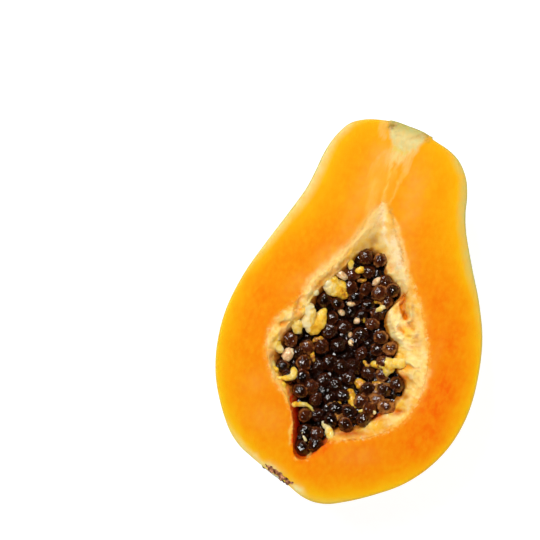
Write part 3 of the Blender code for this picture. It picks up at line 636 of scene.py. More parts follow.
def body_rows():
    """The stations of the fruit, redrawn at even steps along its outline."""
    ends = [(*pole, *pole, 0.0, pole[1]) for pole in (STEM_POLE, BLOSSOM_POLE)]
    fine = smooth_curve([ends[0], *STATIONS, ends[1]], STATION_STEPS)
    steps = np.hypot(*np.diff(fine[:, 0:2], axis=0).T) + np.hypot(*np.diff(fine[:, 2:4], axis=0).T)
    run = np.concatenate([[0], np.cumsum(steps)])
    wanted = np.linspace(0, run[-1], ROW_COUNT + 2)[1:-1]
    return np.column_stack([np.interp(wanted, run, column) for column in fine.T])


def with_stub(points):
    """Raises the round stub of the stalk, with its uneven broken edge, out of the stem end."""
    reach = np.hypot(points[:, 0] - STUB_CENTRE[0], points[:, 2])
    turn = np.arctan2(points[:, 2], points[:, 0] - STUB_CENTRE[0])
    ragged = 0.5 * np.sin(5 * turn + 1.0) + 0.4 * np.sin(11 * turn)
    rise = STUB_PROUD * (1 - smoothstep(STUB_RADIUS - 0.9 + ragged, STUB_RADIUS + 0.5 + ragged, reach))
    out = points.copy()
    out[:, 1] += np.where(points[:, 1] > NECK_END, rise, 0.0)
    return out


def skin_points():
    """The rind as rows of points, each from the right edge under the belly to the left edge."""
    left_x, left_y, right_x, right_y, depth, belly_y = [c[:, None] for c in body_rows().T]
    angles = np.pi * np.arange(SKIN_SIDES + 1) / SKIN_SIDES
    side, below = np.cos(angles), -np.sin(angles)
    rib = 1 + RIB_HEIGHT_SHARE * below**2 * np.cos(RIB_COUNT * angles)
    x = (left_x + right_x) / 2 + side * rib * (right_x - left_x) / 2
    y = side**2 * np.where(side > 0, right_y, left_y) + below**2 * belly_y
    z = np.maximum(below * depth * rib, -CUT_HEIGHT)
    return np.stack([x, y, z], axis=2)


def shelf_slope(points, share):
    """Height of the smooth shelf at a share of the way from the rim, 0, to the pit's edge, 1."""
    shallow = 1 - 0.55 * smoothstep(0, 14, -points[:, 0])
    return -SHELF_DEPTH * shallow * (0.45 * share + 0.55 * share**2)


def lining_height(points, share):
    """Height of the wrinkled lining on the shelf."""
    slope = shelf_slope(points, share)
    flat = warped(points * (1, 1, 0))
    dx, dy = points[:, 0] - HOLLOW_CENTRE[0], points[:, 1] - HOLLOW_CENTRE[1]
    around, inwards = np.arctan2(dy, dx) * FIBRE_REACH, np.hypot(dx, dy)
    fibres = 0.3 - np.abs(noise_at(level(around / 1.7, inwards / 5.0), 1.0, 2.2, 2))
    broad = noise_at(flat, 7.0, 3.7)
    ridges = 0.35 - np.abs(noise_at(flat, 3.6, 11.3, 2))
    fine = 0.2 * noise_at(flat, 1.2, 5.1)
    calm = 1 - 0.75 * smoothstep(18, 30, points[:, 1])
    dents = sum(
        patches(flat, [(x, y, length, width, turn, 1.0)]) * height
        for x, y, length, width, turn, height in LINING_RELIEF
    )
    for path, width, height in LINING_FOLDS:
        dents = dents + height * np.exp(-((distance_to(flat, smooth_curve(path, 16)) / width) ** 2))
    wrinkles = calm * (1.1 * broad + 0.8 * ridges + 0.5 * fibres + 0.6 * fine)
    return slope + smoothstep(0.0, 0.32, share) * (wrinkles + dents)


def fruit_piece(materials):
    """Rind, cut face and hollow as one closed mesh, with the measures that its colours follow."""
    skin = skin_points()
    rows, sides = skin.shape[:2]
    points = [with_stub(skin.reshape(-1, 3)), with_stub(level([STEM_POLE, BLOSSOM_POLE]))]
    stem, blossom = rows * sides, rows * sides + 1
    faces = []
    for r in range(rows - 1):
        for k in range(sides - 1):
            a = r * sides + k
            faces.append((a, a + sides, a + sides + 1, a + 1))
    for k in range(sides - 1):
        faces.append((stem, k, k + 1))
        faces.append((blossom, (rows - 1) * sides + k + 1, (rows - 1) * sides + k))
    skin_faces = len(faces)

    left = [r * sides + sides - 1 for r in range(rows)]
    right = [r * sides for r in reversed(range(rows))]
    ring = [stem, *left, blossom, *right]
    outline = np.concatenate(points)[ring]
    count = len(ring)
    angles = np.arctan2(outline[:, 1] - HOLLOW_CENTRE[1], outline[:, 0] - HOLLOW_CENTRE[0])
    ways = np.column_stack([np.cos(angles), np.sin(angles)])
    centre = np.array(HOLLOW_CENTRE)
    torn = 0.35 * noise_at(level(rim_radius(angles)[:, None] * ways), 2.2, 15.0, 2)
    rim = centre + ways * (rim_radius(angles) + torn)[:, None]
    ragged = 0.5 * noise_at(level(rim), 3.0, 7.7, 2)
    pit = centre + ways * (pit_radius(angles) + ragged)[:, None]

    rings, shares = [], []
    for k in range(1, CUT_RINGS + 1):
        t = 0.5 - 0.5 * math.cos(math.pi * k / CUT_RINGS)
        rings.append(level(outline[:, :2] * (1 - t) + rim * t))
        shares.append(np.full(count, t - 1))
    for k in range(1, SHELF_RINGS + 1):
        t = k / SHELF_RINGS
        flat = level(rim * (1 - t) + pit * t)
        share = np.full(count, t)
        flat[:, 2] = lining_height(flat, share)
        rings.append(flat)
        shares.append(share)
    lip = rings[-1][:, 2]
    for k in range(1, WALL_RINGS + FLOOR_RINGS):
        bend = min(math.pi / 2 * k / WALL_RINGS, math.pi / 2)
        reach = min(0.75 * (1 - math.cos(bend)) + 0.04 * k, 0.97)
        flat = pit * (1 - reach) + centre * reach
        depth = lip + (-PIT_DEPTH - lip) * math.sin(bend)
        rings.append(np.column_stack([flat, depth]))
        shares.append(np.full(count, 1 + k / WALL_RINGS))

    start = len(points[0]) + 2
    ids = [np.array(ring)] + [start + k * count + np.arange(count) for k in range(len(rings))]
    last = start + len(rings) * count
    points += rings + [np.array([(*HOLLOW_CENTRE, -PIT_DEPTH)])]
    for inner, outer in zip(ids[1:], ids):
        ahead_in, ahead_out = np.roll(inner, -1), np.roll(outer, -1)
        faces += list(zip(outer.tolist(), ahead_out.tolist(), ahead_in.tolist(), inner.tolist()))
    faces += [(a, b, last) for a, b in zip(ids[-1].tolist(), np.roll(ids[-1], -1).tolist())]

    points = np.concatenate(points)
    edge = distance_to(points, smooth_outline(outline))
    share = np.full(len(points), -1.0)
    share[start:last] = np.concatenate(shares)
    share[last] = 2.0
    on_cut = np.zeros(len(points), bool)
    on_cut[ring] = True
    on_cut[start : start + CUT_RINGS * count] = True
    rim_distance = distance_to(points, smooth_outline(rim)) * np.where(share > 0, -1, 1)
    points[on_cut, 2] = cut_relief(points[on_cut], edge[on_cut], rim_distance[on_cut])

    face_materials = [0] * skin_faces + [1] * (len(faces) - skin_faces)
    piece = mesh_object(
        "papaya_half", points, faces, "fruit_half", ["fruit_half"], materials, face_materials, sharp=35
    )
    slope = shelf_slope(points, np.clip(share, 0, 1))
    put_attribute(piece, "edge_mm", edge)
    put_attribute(piece, "rim_mm", rim_distance)
    put_attribute(piece, "relief", np.where(share > 0, points[:, 2] - slope, 0.0))
    put_attribute(piece, "pit", np.clip(share - 1, 0, 1))
    wavy = warped(points)
    for name in MARK_NAMES:
        values = patches(wavy, OVALS.get(name, []))
        for path, width, strength in LINES.get(name, []):
            near = distance_to(wavy, smooth_curve(path, 20))
            values = np.maximum(values, strength * np.exp(-((near / width) ** 2)))
        for path, strength in BANDS.get(name, []):
            values = np.maximum(values, strength * band(wavy, smooth_curve(path, 12)))
        put_attribute(piece, name, values)


def smooth_outline(outline):
    """The outline with points between its own, so that distances to it are true."""
    ahead = np.roll(outline, -1, axis=0)
    return np.concatenate([outline, (outline * 2 + ahead) / 3, (outline + ahead * 2) / 3])


def cut_relief(points, edge, rim_distance):
    """The knife's cut isn't quite flat: it rolls over at the rind and dips a little towards the hollow."""
    height = 0.12 * noise_at(points * (1, 1, 0), 14.0, 1.3) - 0.06
    height -= 0.35 * np.exp(-((edge / 0.5) ** 2))
    height -= 0.2 * np.exp(-rim_distance / 1.6)
    return np.minimum(height, 0.0)


def flesh_finish():
    """Cut flesh, its pale band under the rind, the strands of the neck, and the hollow's wrinkled lining."""
    f = Finish("cut_flesh")
    blotches = f.noise(9.0, 3.0, 0.55)
    grain = f.noise(1.6, 4.0, 0.6, stretch=(1.0, 1.6, 1.0))
    edge, rim, pale = f.attribute("edge_mm"), f.attribute("rim_mm"), f.attribute("pale_edge")
    along = f.axis("Y")
    narrowed = f.math("DIVIDE", edge, f.span(pale, 0.0, 1.0, 1.0, 2.1))
    wander = f.times(f.span(blotches, 0.3, 0.7, -1.1, 1.1), f.span(edge, 0.5, 5.0))
    colour = f.tones(
        f.math("DIVIDE", f.plus(narrowed, wander), BAND_REACH),
        (0.0, 244, 200, 70), (1.0, 250, 130, 3), (0.05, 250, 190, 16), (0.15, 252, 168, 4),
        (0.3, 253, 151, 1), (0.5, 252, 140, 1), (0.7, 251, 134, 2),
    )
    golden = f.times(f.span(along, 0.02, 0.055, 0.0, 0.6), f.span(blotches, 0.3, 0.7, 0.6, 1.2))
    colour = f.mix(golden, colour, srgb(255, 172, 6))
    neck_pale = f.times(pale, f.span(narrowed, 0.0, 2.5, 0.85, 0.0))
    pale_tone = f.mix(f.span(f.axis("X"), -0.01, 0.01), srgb(243, 224, 160), srgb(206, 190, 116))
    colour = f.mix(neck_pale, colour, pale_tone)
    blush = f.times(f.attribute("blush"), f.span(blotches, 0.25, 0.75, 0.6, 1.15))
    by_rim = f.times(f.span(rim, 0.0, 2.2, 0.6, 0.0), f.cloud(2.4, 0.3, 0.7))
    colour = f.painted(
        colour,
        (f.times(blush, 0.95), 252, 89, 2),
        (f.mark("peach", 4.0, 0.3, 0.7, 0.5, 1.1), 253, 164, 62),
        (f.times(by_rim, f.span(along, -0.05, -0.035)), 252, 170, 56),
    )
    streaks = f.span(f.noise(1.3, 4.0, 0.6, stretch=(1, 4, 1)), 0.3, 0.65, 0.6, 1.0)
    cream_tone = f.mix(f.span(along, 0.056, 0.07), srgb(253, 190, 78), srgb(244, 216, 146))
    colour = f.mix(f.times(f.attribute("stem_cream"), streaks), colour, cream_tone)
    dash = f.mark("yellow_dash", 2.0, 0.3, 0.6, 0.5, 0.9, detail=3.0)
    colour = f.painted(
        colour,
        (f.attribute("scar_pale"), 244, 226, 170),
        (f.times(f.attribute("strand"), streaks), 253, 204, 104),
        (f.times(dash, 0.6), 228, 204, 70),
    )
    green = f.mark("stem_green", 2.4, 0.3, 0.65, 0.75, 1.0)
    green_tone = f.mix(f.span(along, 0.0745, 0.079), srgb(236, 214, 150), srgb(176, 178, 108))
    green_tone = f.mix(f.cloud(1.6, 0.35, 0.65, 0.0, 0.4), green_tone, srgb(206, 196, 140))
    colour = f.mix(f.span(green, 0.1, 0.75), colour, green_tone)
    broken = f.mark("stem_brown", 1.6, 0.3, 0.6, 0.3, 1.0, roughness=0.6)
    broken_tone = f.mix(f.cloud(1.1, 0.35, 0.65, detail=3.0), srgb(138, 106, 40), srgb(206, 140, 88))
    colour = f.mix(broken, colour, broken_tone)
    colour = f.painted(
        colour,
        (f.cloud(5.0, 0.35, 0.65, 0.0, 0.16, detail=3.0), 255, 170, 10),
        (f.span(grain, 0.35, 0.7, 0.0, 0.26), 255, 178, 24),
    )
    colour = f.mix(1.0, colour, FLESH_TINT, blend="MULTIPLY")

    # The lining, by how high it stands: amber in its pockets and cream on its ridges, partly its own colour
    # and partly painted shade in the pockets and painted light on the ridges.
    relief = f.plus(f.attribute("relief"), f.cloud(2.4, 0.3, 0.7, -0.4, 0.4, roughness=0.6))
    lining = f.tones(
        f.span(relief, -2.6, 2.0),
        (0.0, 196, 98, 8), (1.0, 254, 228, 164), (0.25, 238, 156, 34), (0.42, 250, 186, 66),
        (0.6, 254, 206, 98), (0.8, 255, 220, 134),
    )
    gold = f.mark("lining_gold", 2.2, 0.3, 0.65, 0.55, 1.0, detail=3.0)
    lining = f.mix(gold, lining, srgb(248, 190, 48))
    white_tone = f.mix(f.span(along, 0.0, 0.03), srgb(255, 218, 136), srgb(250, 226, 180))
    lining = f.mix(f.mark("lining_white", 1.8, 0.25, 0.6, 0.6, 0.98), lining, white_tone)
    less_white = f.span(f.attribute("lining_white"), 0.0, 0.8, 0.75, 0.1)
    folds = f.noise(2.8, 3.0, 0.5)
    red, pit = f.attribute("red"), f.attribute("pit")
    lining = f.painted(
        lining,
        (f.times(f.span(rim, -3.0, -0.5), less_white), 252, 180, 68),
        # painted highlight on the ridges of the folds' bump and painted shade in its hollows
        (f.span(folds, 0.48, 0.64, 0.0, 0.45), 255, 232, 170),
        (f.span(folds, 0.44, 0.32, 0.0, 0.3), 234, 158, 46),
        # amber marks: painted shade in the pockets and sunk folds
        (f.times(f.attribute("amber"), 0.85), 214, 124, 6),
        # olive marks: painted shade on the slope at the hollow's top end
        (f.times(f.attribute("olive"), 0.85), 184, 124, 50),
        # red marks: painted reddish shade, partly the flesh's own deeper red
        (red, 222, 62, 4),
    )
    # Down the pit's wall the colour is painted darker towards the bottom, as painted shade: brown, or deep
    # red where the red marks are.
    for low, high, plain, reddened in (
        (0.0, 0.1, (196, 116, 30), (206, 34, 0)),
        (0.06, 0.25, (138, 64, 12), (176, 14, 0)),
        (0.3, 0.7, (60, 10, 4), (150, 8, 0)),
    ):
        lining = f.mix(f.span(pit, low, high), lining, f.mix(red, srgb(*plain), srgb(*reddened)))
    inside = f.span(f.plus(rim, f.cloud(1.7, 0.3, 0.7, -0.8, 0.8, roughness=0.6)), 1.1, -1.0)
    colour = f.mix(inside, colour, lining)
    line = f.times(f.span(edge, 0.2, 0.7, 1.0, 0.0), f.attribute("green_line"))
    colour = f.painted(
        colour,
        (f.mark("lip", 1.8, 0.25, 0.6, 0.55, 1.0), 251, 208, 128),
        (f.mark("tan", 1.4, 0.35, 0.6, 0.2, 1.0, roughness=0.6), 212, 150, 66),
        (f.times(line, 0.75), 172, 170, 92),
    )
    normal = f.bump(grain, 0.3, 0.5)
    normal = f.bump(f.noise(0.7, 3.0, 0.6), 0.12, 0.4, normal)
    normal = f.bump(f.times(folds, inside), 0.9, 0.4, normal)
    return f.set(
        base_color=colour, roughness=f.span(grain, 0.3, 0.7, 0.4, 0.55), normal=normal, specular=0.03,
        subsurface=0.3, radius=(1.0, 0.5, 0.2), radius_scale=0.0025,
    )


def rind_finish():
    """Waxy rind, green at the neck and yellow to orange below, with mottles and small brown specks."""
    f = Finish("waxy_rind")
    along = f.plus(f.axis("Y"), f.cloud(26.0, 0.3, 0.7, -0.016, 0.016))
    colour = f.tones(
        f.span(along, -0.075, 0.08),
        (0.0, 150, 142, 56), (1.0, 196, 186, 74), (0.08, 216, 156, 30), (0.25, 244, 166, 22),
        (0.48, 242, 194, 44), (0.65, 206, 192, 60), (0.8, 142, 156, 44), (0.93, 136, 148, 46),
    )
    mottles = f.cloud(11.0, 0.5, 0.66, detail=5.0, roughness=0.62)
    warm = f.cloud(20.0, 0.48, 0.68, detail=3.0)
    specks = f.times(f.span(f.cells(2.6), 0.2, 0.1), f.cloud(2.4, 0.46, 0.62, detail=3.0))
    specks = f.times(specks, f.span(along, 0.04, -0.02, 0.35, 1.0))
    colour = f.painted(
        colour,
        (f.times(mottles, f.span(along, -0.03, 0.05, 0.1, 0.85)), 104, 122, 34),
        (f.times(warm, f.span(along, 0.02, -0.04, 0.0, 0.6)), 246, 136, 10),
        (f.times(specks, 0.75), 118, 74, 18),
        (f.times(f.cloud(1.0, 0.3, 0.7), 0.14), 236, 190, 70),
    )
    normal = f.bump(f.noise(16.0, 3.0), 0.9, 0.5)
    return f.set(
        base_color=colour, roughness=f.cloud(7.0, 0.3, 0.7, 0.3, 0.48), specular=0.45,
        normal=f.bump(f.noise(0.9, 3.0), 0.1, 0.35, normal), coat=0.25, coat_roughness=0.3,
    )


def seed_finish(name, black, middle, brown):
    """Dark seeds in their wet, finely wrinkled skins."""
    f = Finish(name)
    share = f.times(f.cloud(1.8, 0.3, 0.65, 0.4, 1.0, detail=3.0), f.attribute("tint"))
    return f.set(
        base_color=f.tones(share, (0.0, *black), (1.0, *brown), (0.45, *middle)), roughness=0.5,
        normal=f.bump(f.noise(0.9, 4.0, 0.6, distortion=0.4), 0.3, 0.8), specular=0.02,
        coat=1.0, coat_roughness=0.06, coat_ior=1.7, coat_normal=f.bump(f.noise(1.3, 2.0, 0.55), 0.5),
    )


def pale_seed_finish():
    """Unripe seeds, cream with a brownish tinge."""
    f = Finish("unripe_seed")
    colour = f.mix(f.cloud(1.6, 0.35, 0.65, roughness=0.6), srgb(206, 158, 104), srgb(246, 214, 166))
    return f.set(
        base_color=colour, roughness=0.35, normal=f.bump(f.noise(1.0, 3.0), 0.2, 0.5), specular=0.3,
        subsurface=0.3, radius=(1.0, 0.5, 0.2), radius_scale=0.0015, coat=0.5, coat_roughness=0.15,
    )


def pulp_finish():
    """Wet pulp: cream, gold or amber brown, by how golden each place is."""
    f = Finish("torn_pulp")
    veins = f.span(f.noise(2.4, 4.0, 0.6, distortion=0.6), 0.3, 0.7, -0.2, 0.2)
    colour = f.tones(
        f.math("DIVIDE", f.plus(f.attribute("gold"), veins), MOST_GOLD),
        (0.0, 255, 228, 174), (1.0, 104, 60, 32), (0.2, 255, 214, 128), (0.42, 253, 196, 64),
        (0.62, 238, 170, 36), (0.8, 160, 104, 46),
    )
    return f.set(
        base_color=colour, roughness=0.45, normal=f.bump(f.noise(1.4, 4.0, 0.6), 0.2, 0.5), specular=0.15,
        subsurface=0.8, radius=(0.6, 0.6, 0.6), radius_scale=0.004, coat=0.35, coat_roughness=0.15,
    )


def crust_finish(name, low, high):
    """Dry crust of the flower scar and the stalk's broken edge."""
    f = Finish(name)
    # The colour follows the same bits as the bump: partly the crust's own mottle, partly painted highlight on
    # the raised bits and painted shade in the low ones.
    bits = f.noise(1.4, 5.0, 0.65)
    low, high = srgb(*low), srgb(*high)
    stops = []
    for place, share in ((0.38, 0.0), (0.66, 1.0), (0.46, 0.2), (0.56, 0.55)):
        stops.append((place, tuple((1 - share) * a + share * b for a, b in zip(low, high))))
    normal = f.bump(bits, 0.6, 0.9)
    return f.set(base_color=f.ramp(bits, stops), roughness=0.85, normal=normal, specular=0.2)


def mass_top(x, y):
    """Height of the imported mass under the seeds, which sags towards the middle."""
    dx, dy = x - HOLLOW_CENTRE[0], y - HOLLOW_CENTRE[1]
    share = min(math.hypot(dx, dy) / float(mass_radius(math.atan2(dy, dx))), 1.0)
    return MASS_MIDDLE_TOP + (MASS_EDGE_TOP - MASS_MIDDLE_TOP) * share**2


def ball(subdivisions):
    """Points and faces of a ball of radius 1."""
    bm = bmesh.new()
    bmesh.ops.create_icosphere(bm, subdivisions=subdivisions, radius=1.0)
    points = np.array([v.co[:] for v in bm.verts])
    faces = [tuple(v.index for v in f.verts) for f in bm.faces]
    bm.free()
    return points, faces


def seed_shape(base, size, seed, wrinkle):
    """An egg of these full sizes with a bumpy skin, from the points of a ball."""
    points = base * (np.array(size) / 2)
    broad = noise_at(points, 2.8, seed)
    knobs = np.abs(noise_at(points, 1.3, seed + 4))
    return points * (1 + wrinkle * (0.8 * broad + 2.4 * knobs - 0.6))[:, None]


def join_shapes(shapes):
    """Points and faces of many shapes as one mesh."""
    points, faces, start = [], [], 0
    for shape_points, shape_faces in shapes:
        points.append(shape_points)
        faces += [tuple(i + start for i in face) for face in shape_faces]
        start += len(shape_points)
    return np.concatenate(points), faces


def seed_piece(name, points, faces, material, tint=None):
    """A piece of the seed cluster. The tint is how brown each point is, or one number for all of them."""
    piece = mesh_object(name, points, faces, "seed_cluster", ["seed_cluster"], [material])
    if tint is not None:
        put_attribute(piece, "tint", np.broadcast_to(tint, len(points)))
    return piece


def dark_seeds(material):
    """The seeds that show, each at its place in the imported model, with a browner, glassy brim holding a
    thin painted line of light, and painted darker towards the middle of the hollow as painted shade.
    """
    draw = random.Random(11)
    tints = random.Random(4)
    base, base_faces = ball(4)
    shapes, tint = [], []
    for k, (x, y) in enumerate(DARK_SEEDS):
        length = draw.uniform(*SEED_LENGTH)
        width = length * draw.uniform(*SEED_WIDTH_SHARE)
        height = mass_top(x, y) + width * draw.uniform(*SEED_LIFT_SHARE)
        tilt = (draw.uniform(-SEED_TILT, SEED_TILT), draw.uniform(-SEED_TILT, SEED_TILT))
        turn = (*tilt, draw.uniform(0, math.pi))
        turned = np.array(Euler(turn).to_matrix())
        shape = seed_shape(base, (length, width, width), 1.7 * k, SEED_WRINKLE)
        shapes.append((shape @ turned.T + (x, y, height), base_faces))
        up = base @ turned[2] + 0.1 * noise_at(base, 0.6, 3.1 * k)
        brim = smoothstep(0.92, 0.66, up) * smoothstep(-0.1, 0.3, up)
        # A thin lighter line round each seed's brim: painted light in the glassy skin.
        line = np.exp(-(((up - tints.uniform(0.42, 0.6)) / 0.08) ** 2))
        away = (x - SHADED_MIDDLE[0]) ** 2 / SHADE_SPREAD[0] + (y - SHADED_MIDDLE[1]) ** 2 / SHADE_SPREAD[1]
        brown = min(max(tints.gauss(0.16, 0.24), 0.0), 0.6) + 0.12 * float(smoothstep(4, 14, x))
        glow = brown + tints.uniform(0.05, 0.5) * brim + tints.uniform(0.1, 0.6) * line
        # seeds near the middle of the hollow are painted darker, as painted shade
        tint.append(np.clip(glow, 0, 1) * (0.2 + 0.8 * (1 - math.exp(-away))))
    seed_piece("dark_seeds", *join_shapes(shapes), material, np.concatenate(tint))


def deep_seeds(material):
    """A lower layer of seeds, which shows in the gaps, with the darkest tint as painted shade."""
    draw = random.Random(23)
    base, base_faces = ball(3)
    shapes = []
    for row in range(DEEP_ROWS):
        for column in range(DEEP_COLUMNS):
            across = (column - (DEEP_COLUMNS - 1) / 2 + 0.5 * (row % 2)) * DEEP_SPACING[0]
            x = HOLLOW_CENTRE[0] + across + draw.uniform(-DEEP_STRAY, DEEP_STRAY)
            along = (row - (DEEP_ROWS - 1) / 2) * DEEP_SPACING[1]
            y = HOLLOW_CENTRE[1] + along + draw.uniform(-DEEP_STRAY, DEEP_STRAY)
            dx, dy = x - HOLLOW_CENTRE[0], y - HOLLOW_CENTRE[1]
            length = draw.uniform(*SEED_LENGTH)
            turn = (draw.uniform(-1, 1), draw.uniform(-1, 1), draw.uniform(0, 3))
            if math.hypot(dx, dy) > mass_radius(math.atan2(dy, dx)) - DEEP_MARGIN:
                continue
            height = mass_top(x, y) - draw.uniform(0.8, 2.6)
            place = np.array(Matrix.Translation((x, y, height)) @ Euler(turn).to_matrix().to_4x4())
            shape = seed_shape(base, (length, length * 0.85, length * 0.85), 0.9 * len(shapes), 0.1)
            shapes.append((shape @ place[:3, :3].T + place[:3, 3], base_faces))
    seed_piece("deep_seeds", *join_shapes(shapes), material, 0.05)


def shaded_seed_bed(material):
    """The mass of wet pulp and seeds under the ones that show, painted near-black as the shade in the gaps.
    """
    angles = np.linspace(-math.pi, math.pi, BED_SIDES, endpoint=False)
    ways = np.column_stack([np.cos(angles), np.sin(angles)])
    rings = []
    for share in np.linspace(0.06, 1.0, BED_RINGS):
        flat = np.array(HOLLOW_CENTRE) + ways * mass_radius(angles)[:, None] * share
        heights = np.array([mass_top(x, y) for x, y in flat]) - BED_SINK
        ring = np.column_stack([flat, heights])
        ring[:, 2] += 0.9 * noise_at(ring, 3.0, 8.8, 3)
        rings.append(ring)
    for sink in (3.0, 8.0):
        rings.append(rings[BED_RINGS - 1] * (1, 1, 0) + (0, 0, MASS_EDGE_TOP - BED_SINK - sink))
    count = len(angles)
    middles = [(*HOLLOW_CENTRE, MASS_MIDDLE_TOP - BED_SINK), (*HOLLOW_CENTRE, BED_BOTTOM)]
    points = np.concatenate([*rings, middles])
    faces = []
    for r in range(len(rings) - 1):
        for k in range(count):
            a, b = r * count + k, r * count + (k + 1) % count
            faces.append((a, b, b + count, a + count))
    top, bottom = len(points) - 2, len(points) - 1
    last = (len(rings) - 1) * count
    for k in range(count):
        faces.append((top, (k + 1) % count, k))
        faces.append((bottom, last + k, last + (k + 1) % count))
    seed_piece("shaded_seed_bed", points, faces, material, 0.0)


def pale_seeds(material):
    """Seeds that never ripened."""
    base, base_faces = ball(4)
    shapes = []
    for k, (x, y, length, width, turn) in enumerate(PALE_SEEDS):
        shape = seed_shape(base, (length, width, PALE_HEIGHT), 2.3 * k, 0.1)
        place = np.array(Matrix.Rotation(math.radians(turn), 3, "Z"))
        shapes.append((shape @ place.T + (x, y, mass_top(x, y) + PALE_LIFT), base_faces))
    seed_piece("pale_seeds", *join_shapes(shapes), material)


def remeshed(obj, voxel, smooth):
    """Fuses the shapes of a mesh into one skin."""
    fuse = obj.modifiers.new("fuse", "REMESH")
    fuse.mode = "VOXEL"
    fuse.voxel_size = voxel * MM
    ease = obj.modifiers.new("ease", "SMOOTH")
    ease.iterations = smooth
    graph = bpy.context.evaluated_depsgraph_get()
    mesh = bpy.data.meshes.new_from_object(obj.evaluated_get(graph))
    obj.modifiers.clear()
    obj.data = mesh
    mesh.shade_smooth()


def roughened(obj, size, depth, seed, ceiling=None):
    """Pushes the points of a mesh in and out by noise, in millimetres, and keeps them under a ceiling."""
    mesh = obj.data
    points = np.array([v.co[:] for v in mesh.vertices]) / MM
    normals = np.array([v.normal[:] for v in mesh.vertices])
    points += normals * (depth * noise_at(points, size, seed, 3))[:, None]
    if ceiling is not None:
        points[:, 2] = np.minimum(points[:, 2], CUT_HEIGHT + ceiling)
    mesh.vertices.foreach_set("co", (points * MM).ravel())
    mesh.update()


def torn_pulp(material):
    """Torn pulp among the seeds: each strip is a row of lumps, fused and roughened."""
    draw = random.Random(31)
    base, base_faces = ball(3)
    shapes, spots = [], []
    for path, widths, (first, last), lift in TONGUES:
        fine = smooth_curve([(*place, width) for place, width in zip(path, widths)], 6)
        for k, (x, y, width) in enumerate(fine):
            share = k / (len(fine) - 1)
            x += draw.uniform(-0.1, 0.1) * width
            y += draw.uniform(-0.1, 0.1) * width
            sides = [draw.uniform(0.75, 1.05) * width for _ in range(2)]
            size = np.array([*sides, min(TONGUE_THICKNESS, width)])
            height = mass_top(x, y) + TONGUE_LIFT + lift + draw.uniform(-0.2, 0.2)
            shapes.append((base * size / 2 + (x, y, height), base_faces))
            spots.append((x, y, first + (last - first) * share))
    piece = seed_piece("torn_pulp", *join_shapes(shapes), material)
    remeshed(piece, 0.3, 5)
    roughened(piece, 3.4, 0.4, 3.3)
    roughened(piece, 1.4, 0.12, 6.1)
    places = np.array([v.co[:] for v in piece.data.vertices]) / MM
    spots = np.array(spots)
    nearest = ((places[:, None, :2] - spots[None, :, :2]) ** 2).sum(2).argmin(1)
    gold = spots[nearest, 2] + 0.25 * noise_at(places, 2.0, 9.0)
    put_attribute(piece, "gold", np.clip(gold, 0, MOST_GOLD))


def crust(name, spots, material, seed):
    """Dry crust from small crumbs at the given spots: x, y, z, size."""
    base, base_faces = ball(3)
    draw = random.Random(seed)
    shapes = []
    for x, y, z, size in spots:
        sizes = np.array([draw.uniform(0.5, 1.3) * size for _ in range(3)])
        turn = np.array(Euler([draw.uniform(-1, 1) for _ in range(3)]).to_matrix())
        shapes.append(((base * sizes / 2) @ turn.T + (x, y, z), base_faces))
    piece = mesh_object(name, *join_shapes(shapes), "fruit_half", ["fruit_half"], [material])
    remeshed(piece, 0.22, 1)
    roughened(piece, 1.1, 0.45, 1.9)
    roughened(piece, 0.5, 0.15, 4.9, ceiling=0.1)


def stalk_crust(material):
    """Crusty nubs round the broken edge of the stalk's stub, smallest where the knife went through."""
    draw = random.Random(5)
    spots = []
    for k in range(NUBS_LEFT_OUT, NUBS_ROUND - NUBS_LEFT_OUT):
        turn = math.pi * (k + 0.5) / NUBS_ROUND
        reach = STUB_RADIUS - 0.4 + draw.uniform(-1.0, 0.8)
        size = draw.uniform(0.8, 1.6) + 0.8 * math.sin(turn)
        y = STUB_CENTRE[1] + STUB_PROUD * draw.uniform(-0.2, 0.8)
        spots.append((STUB_CENTRE[0] + reach * math.cos(turn), y, -reach * math.sin(turn), size))
    crust("stalk_crust", spots, material, 6)


def flower_scar(material):
    """The dry flower scar on the blossom end."""
    draw = random.Random(8)
    spots = []
    for x, y in smooth_curve(SCAR_PATH, 8):
        for z in (0.0, -1.2, -2.4, -3.6):
            place = (x + draw.uniform(-0.5, 0.5), y + draw.uniform(-0.5, 0.5), z)
            spots.append((*place, draw.uniform(0.9, 2.2)))
    crust("flower_scar", spots, material, 9)


def floor():
    """A plain pale floor, lit like a photographer's white table."""
    bpy.ops.mesh.primitive_plane_add(size=FLOOR_SIZE)
    plane = bpy.context.object
    plane.name = "floor"
    f = Finish("white_table")
    grain = f.cloud(3.0, 0.3, 0.7, 0.32, 0.36, detail=3.0)
    white = (1.0, 1.0, 1.0, 1.0)
    f.set(base_color=grain, roughness=0.9, specular=0.05, emission=white, emission_strength=FLOOR_GLOW)
    plane.data.materials.append(f.material)


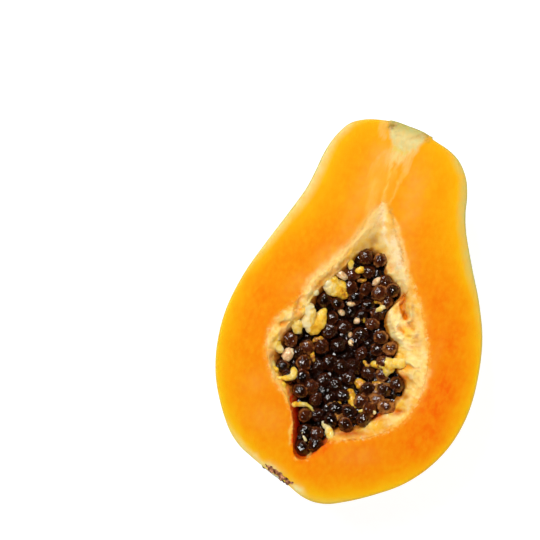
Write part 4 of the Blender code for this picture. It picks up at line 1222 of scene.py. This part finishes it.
def area_light(name, direction, distance, size, power, mirrored=True):
    """A soft square light, aimed at the middle of the cut face. Wet skins mirror it where that is wanted."""
    data = bpy.data.lights.new(name, "AREA")
    data.size = size
    data.energy = power
    light = bpy.data.objects.new(name, data)
    bpy.context.scene.collection.objects.link(light)
    way = Vector(direction).normalized()
    light.location = Vector((0, 0, CUT_HEIGHT * MM)) + way * distance
    light.rotation_euler = (-way).to_track_quat("-Z", "Y").to_euler()
    light.visible_glossy = mirrored


def lighting():
    """A pale room, which wet skins don't mirror, and four lights."""
    world = bpy.data.worlds.new("soft_room")
    world.use_nodes = True
    background = world.node_tree.nodes["Background"].inputs
    background["Color"].default_value = (1.0, 1.0, 1.0, 1.0)
    background["Strength"].default_value = ROOM_GLOW
    bpy.context.scene.world = world
    world.cycles_visibility.glossy = False
    area_light("key", (-0.5, 0.3, 1.0), 1.1, 0.4, 8.1)
    area_light("spark", (-0.35, 0.5, 1.0), 0.9, 0.09, 2.1)
    area_light("fill", (0.9, -0.3, 1.0), 1.3, 0.7, 3.4, mirrored=False)
    area_light("back", (0.1, 1.2, 0.8), 1.3, 0.5, 1.3, mirrored=False)


def camera():
    """Looks straight down at the cut face, with the fruit's stem end turned to the right of upright."""
    data = bpy.data.cameras.new("camera")
    data.sensor_width = SENSOR_WIDTH
    data.lens = SENSOR_WIDTH * CAMERA_HEIGHT / VIEW_WIDTH
    obj = bpy.data.objects.new("camera", data)
    bpy.context.scene.collection.objects.link(obj)
    obj.location = (*VIEW_MIDDLE, CUT_HEIGHT * MM + CAMERA_HEIGHT)
    obj.rotation_euler = (0, 0, math.radians(CAMERA_TURN))
    bpy.context.scene.camera = obj


def main():
    bpy.context.scene.view_settings.view_transform = "Standard"
    camera()
    lighting()
    floor()
    fruit_piece([rind_finish(), flesh_finish()])
    seeds = seed_finish("seed_skin", (11, 3, 1), (80, 32, 11), (180, 114, 54))
    dark_seeds(seeds)
    deep_seeds(seeds)
    # The bed's finish is a darker copy of the seeds' finish: painted shade for the gaps.
    shaded_seed_bed(seed_finish("shaded_seed_bed", (8, 3, 2), (26, 11, 5), (60, 26, 10)))
    pale_seeds(pale_seed_finish())
    torn_pulp(pulp_finish())
    stalk_crust(crust_finish("stalk_crust", (134, 100, 56), (232, 204, 152)))
    flower_scar(crust_finish("scar_crust", (66, 24, 6), (240, 164, 118)))


main()
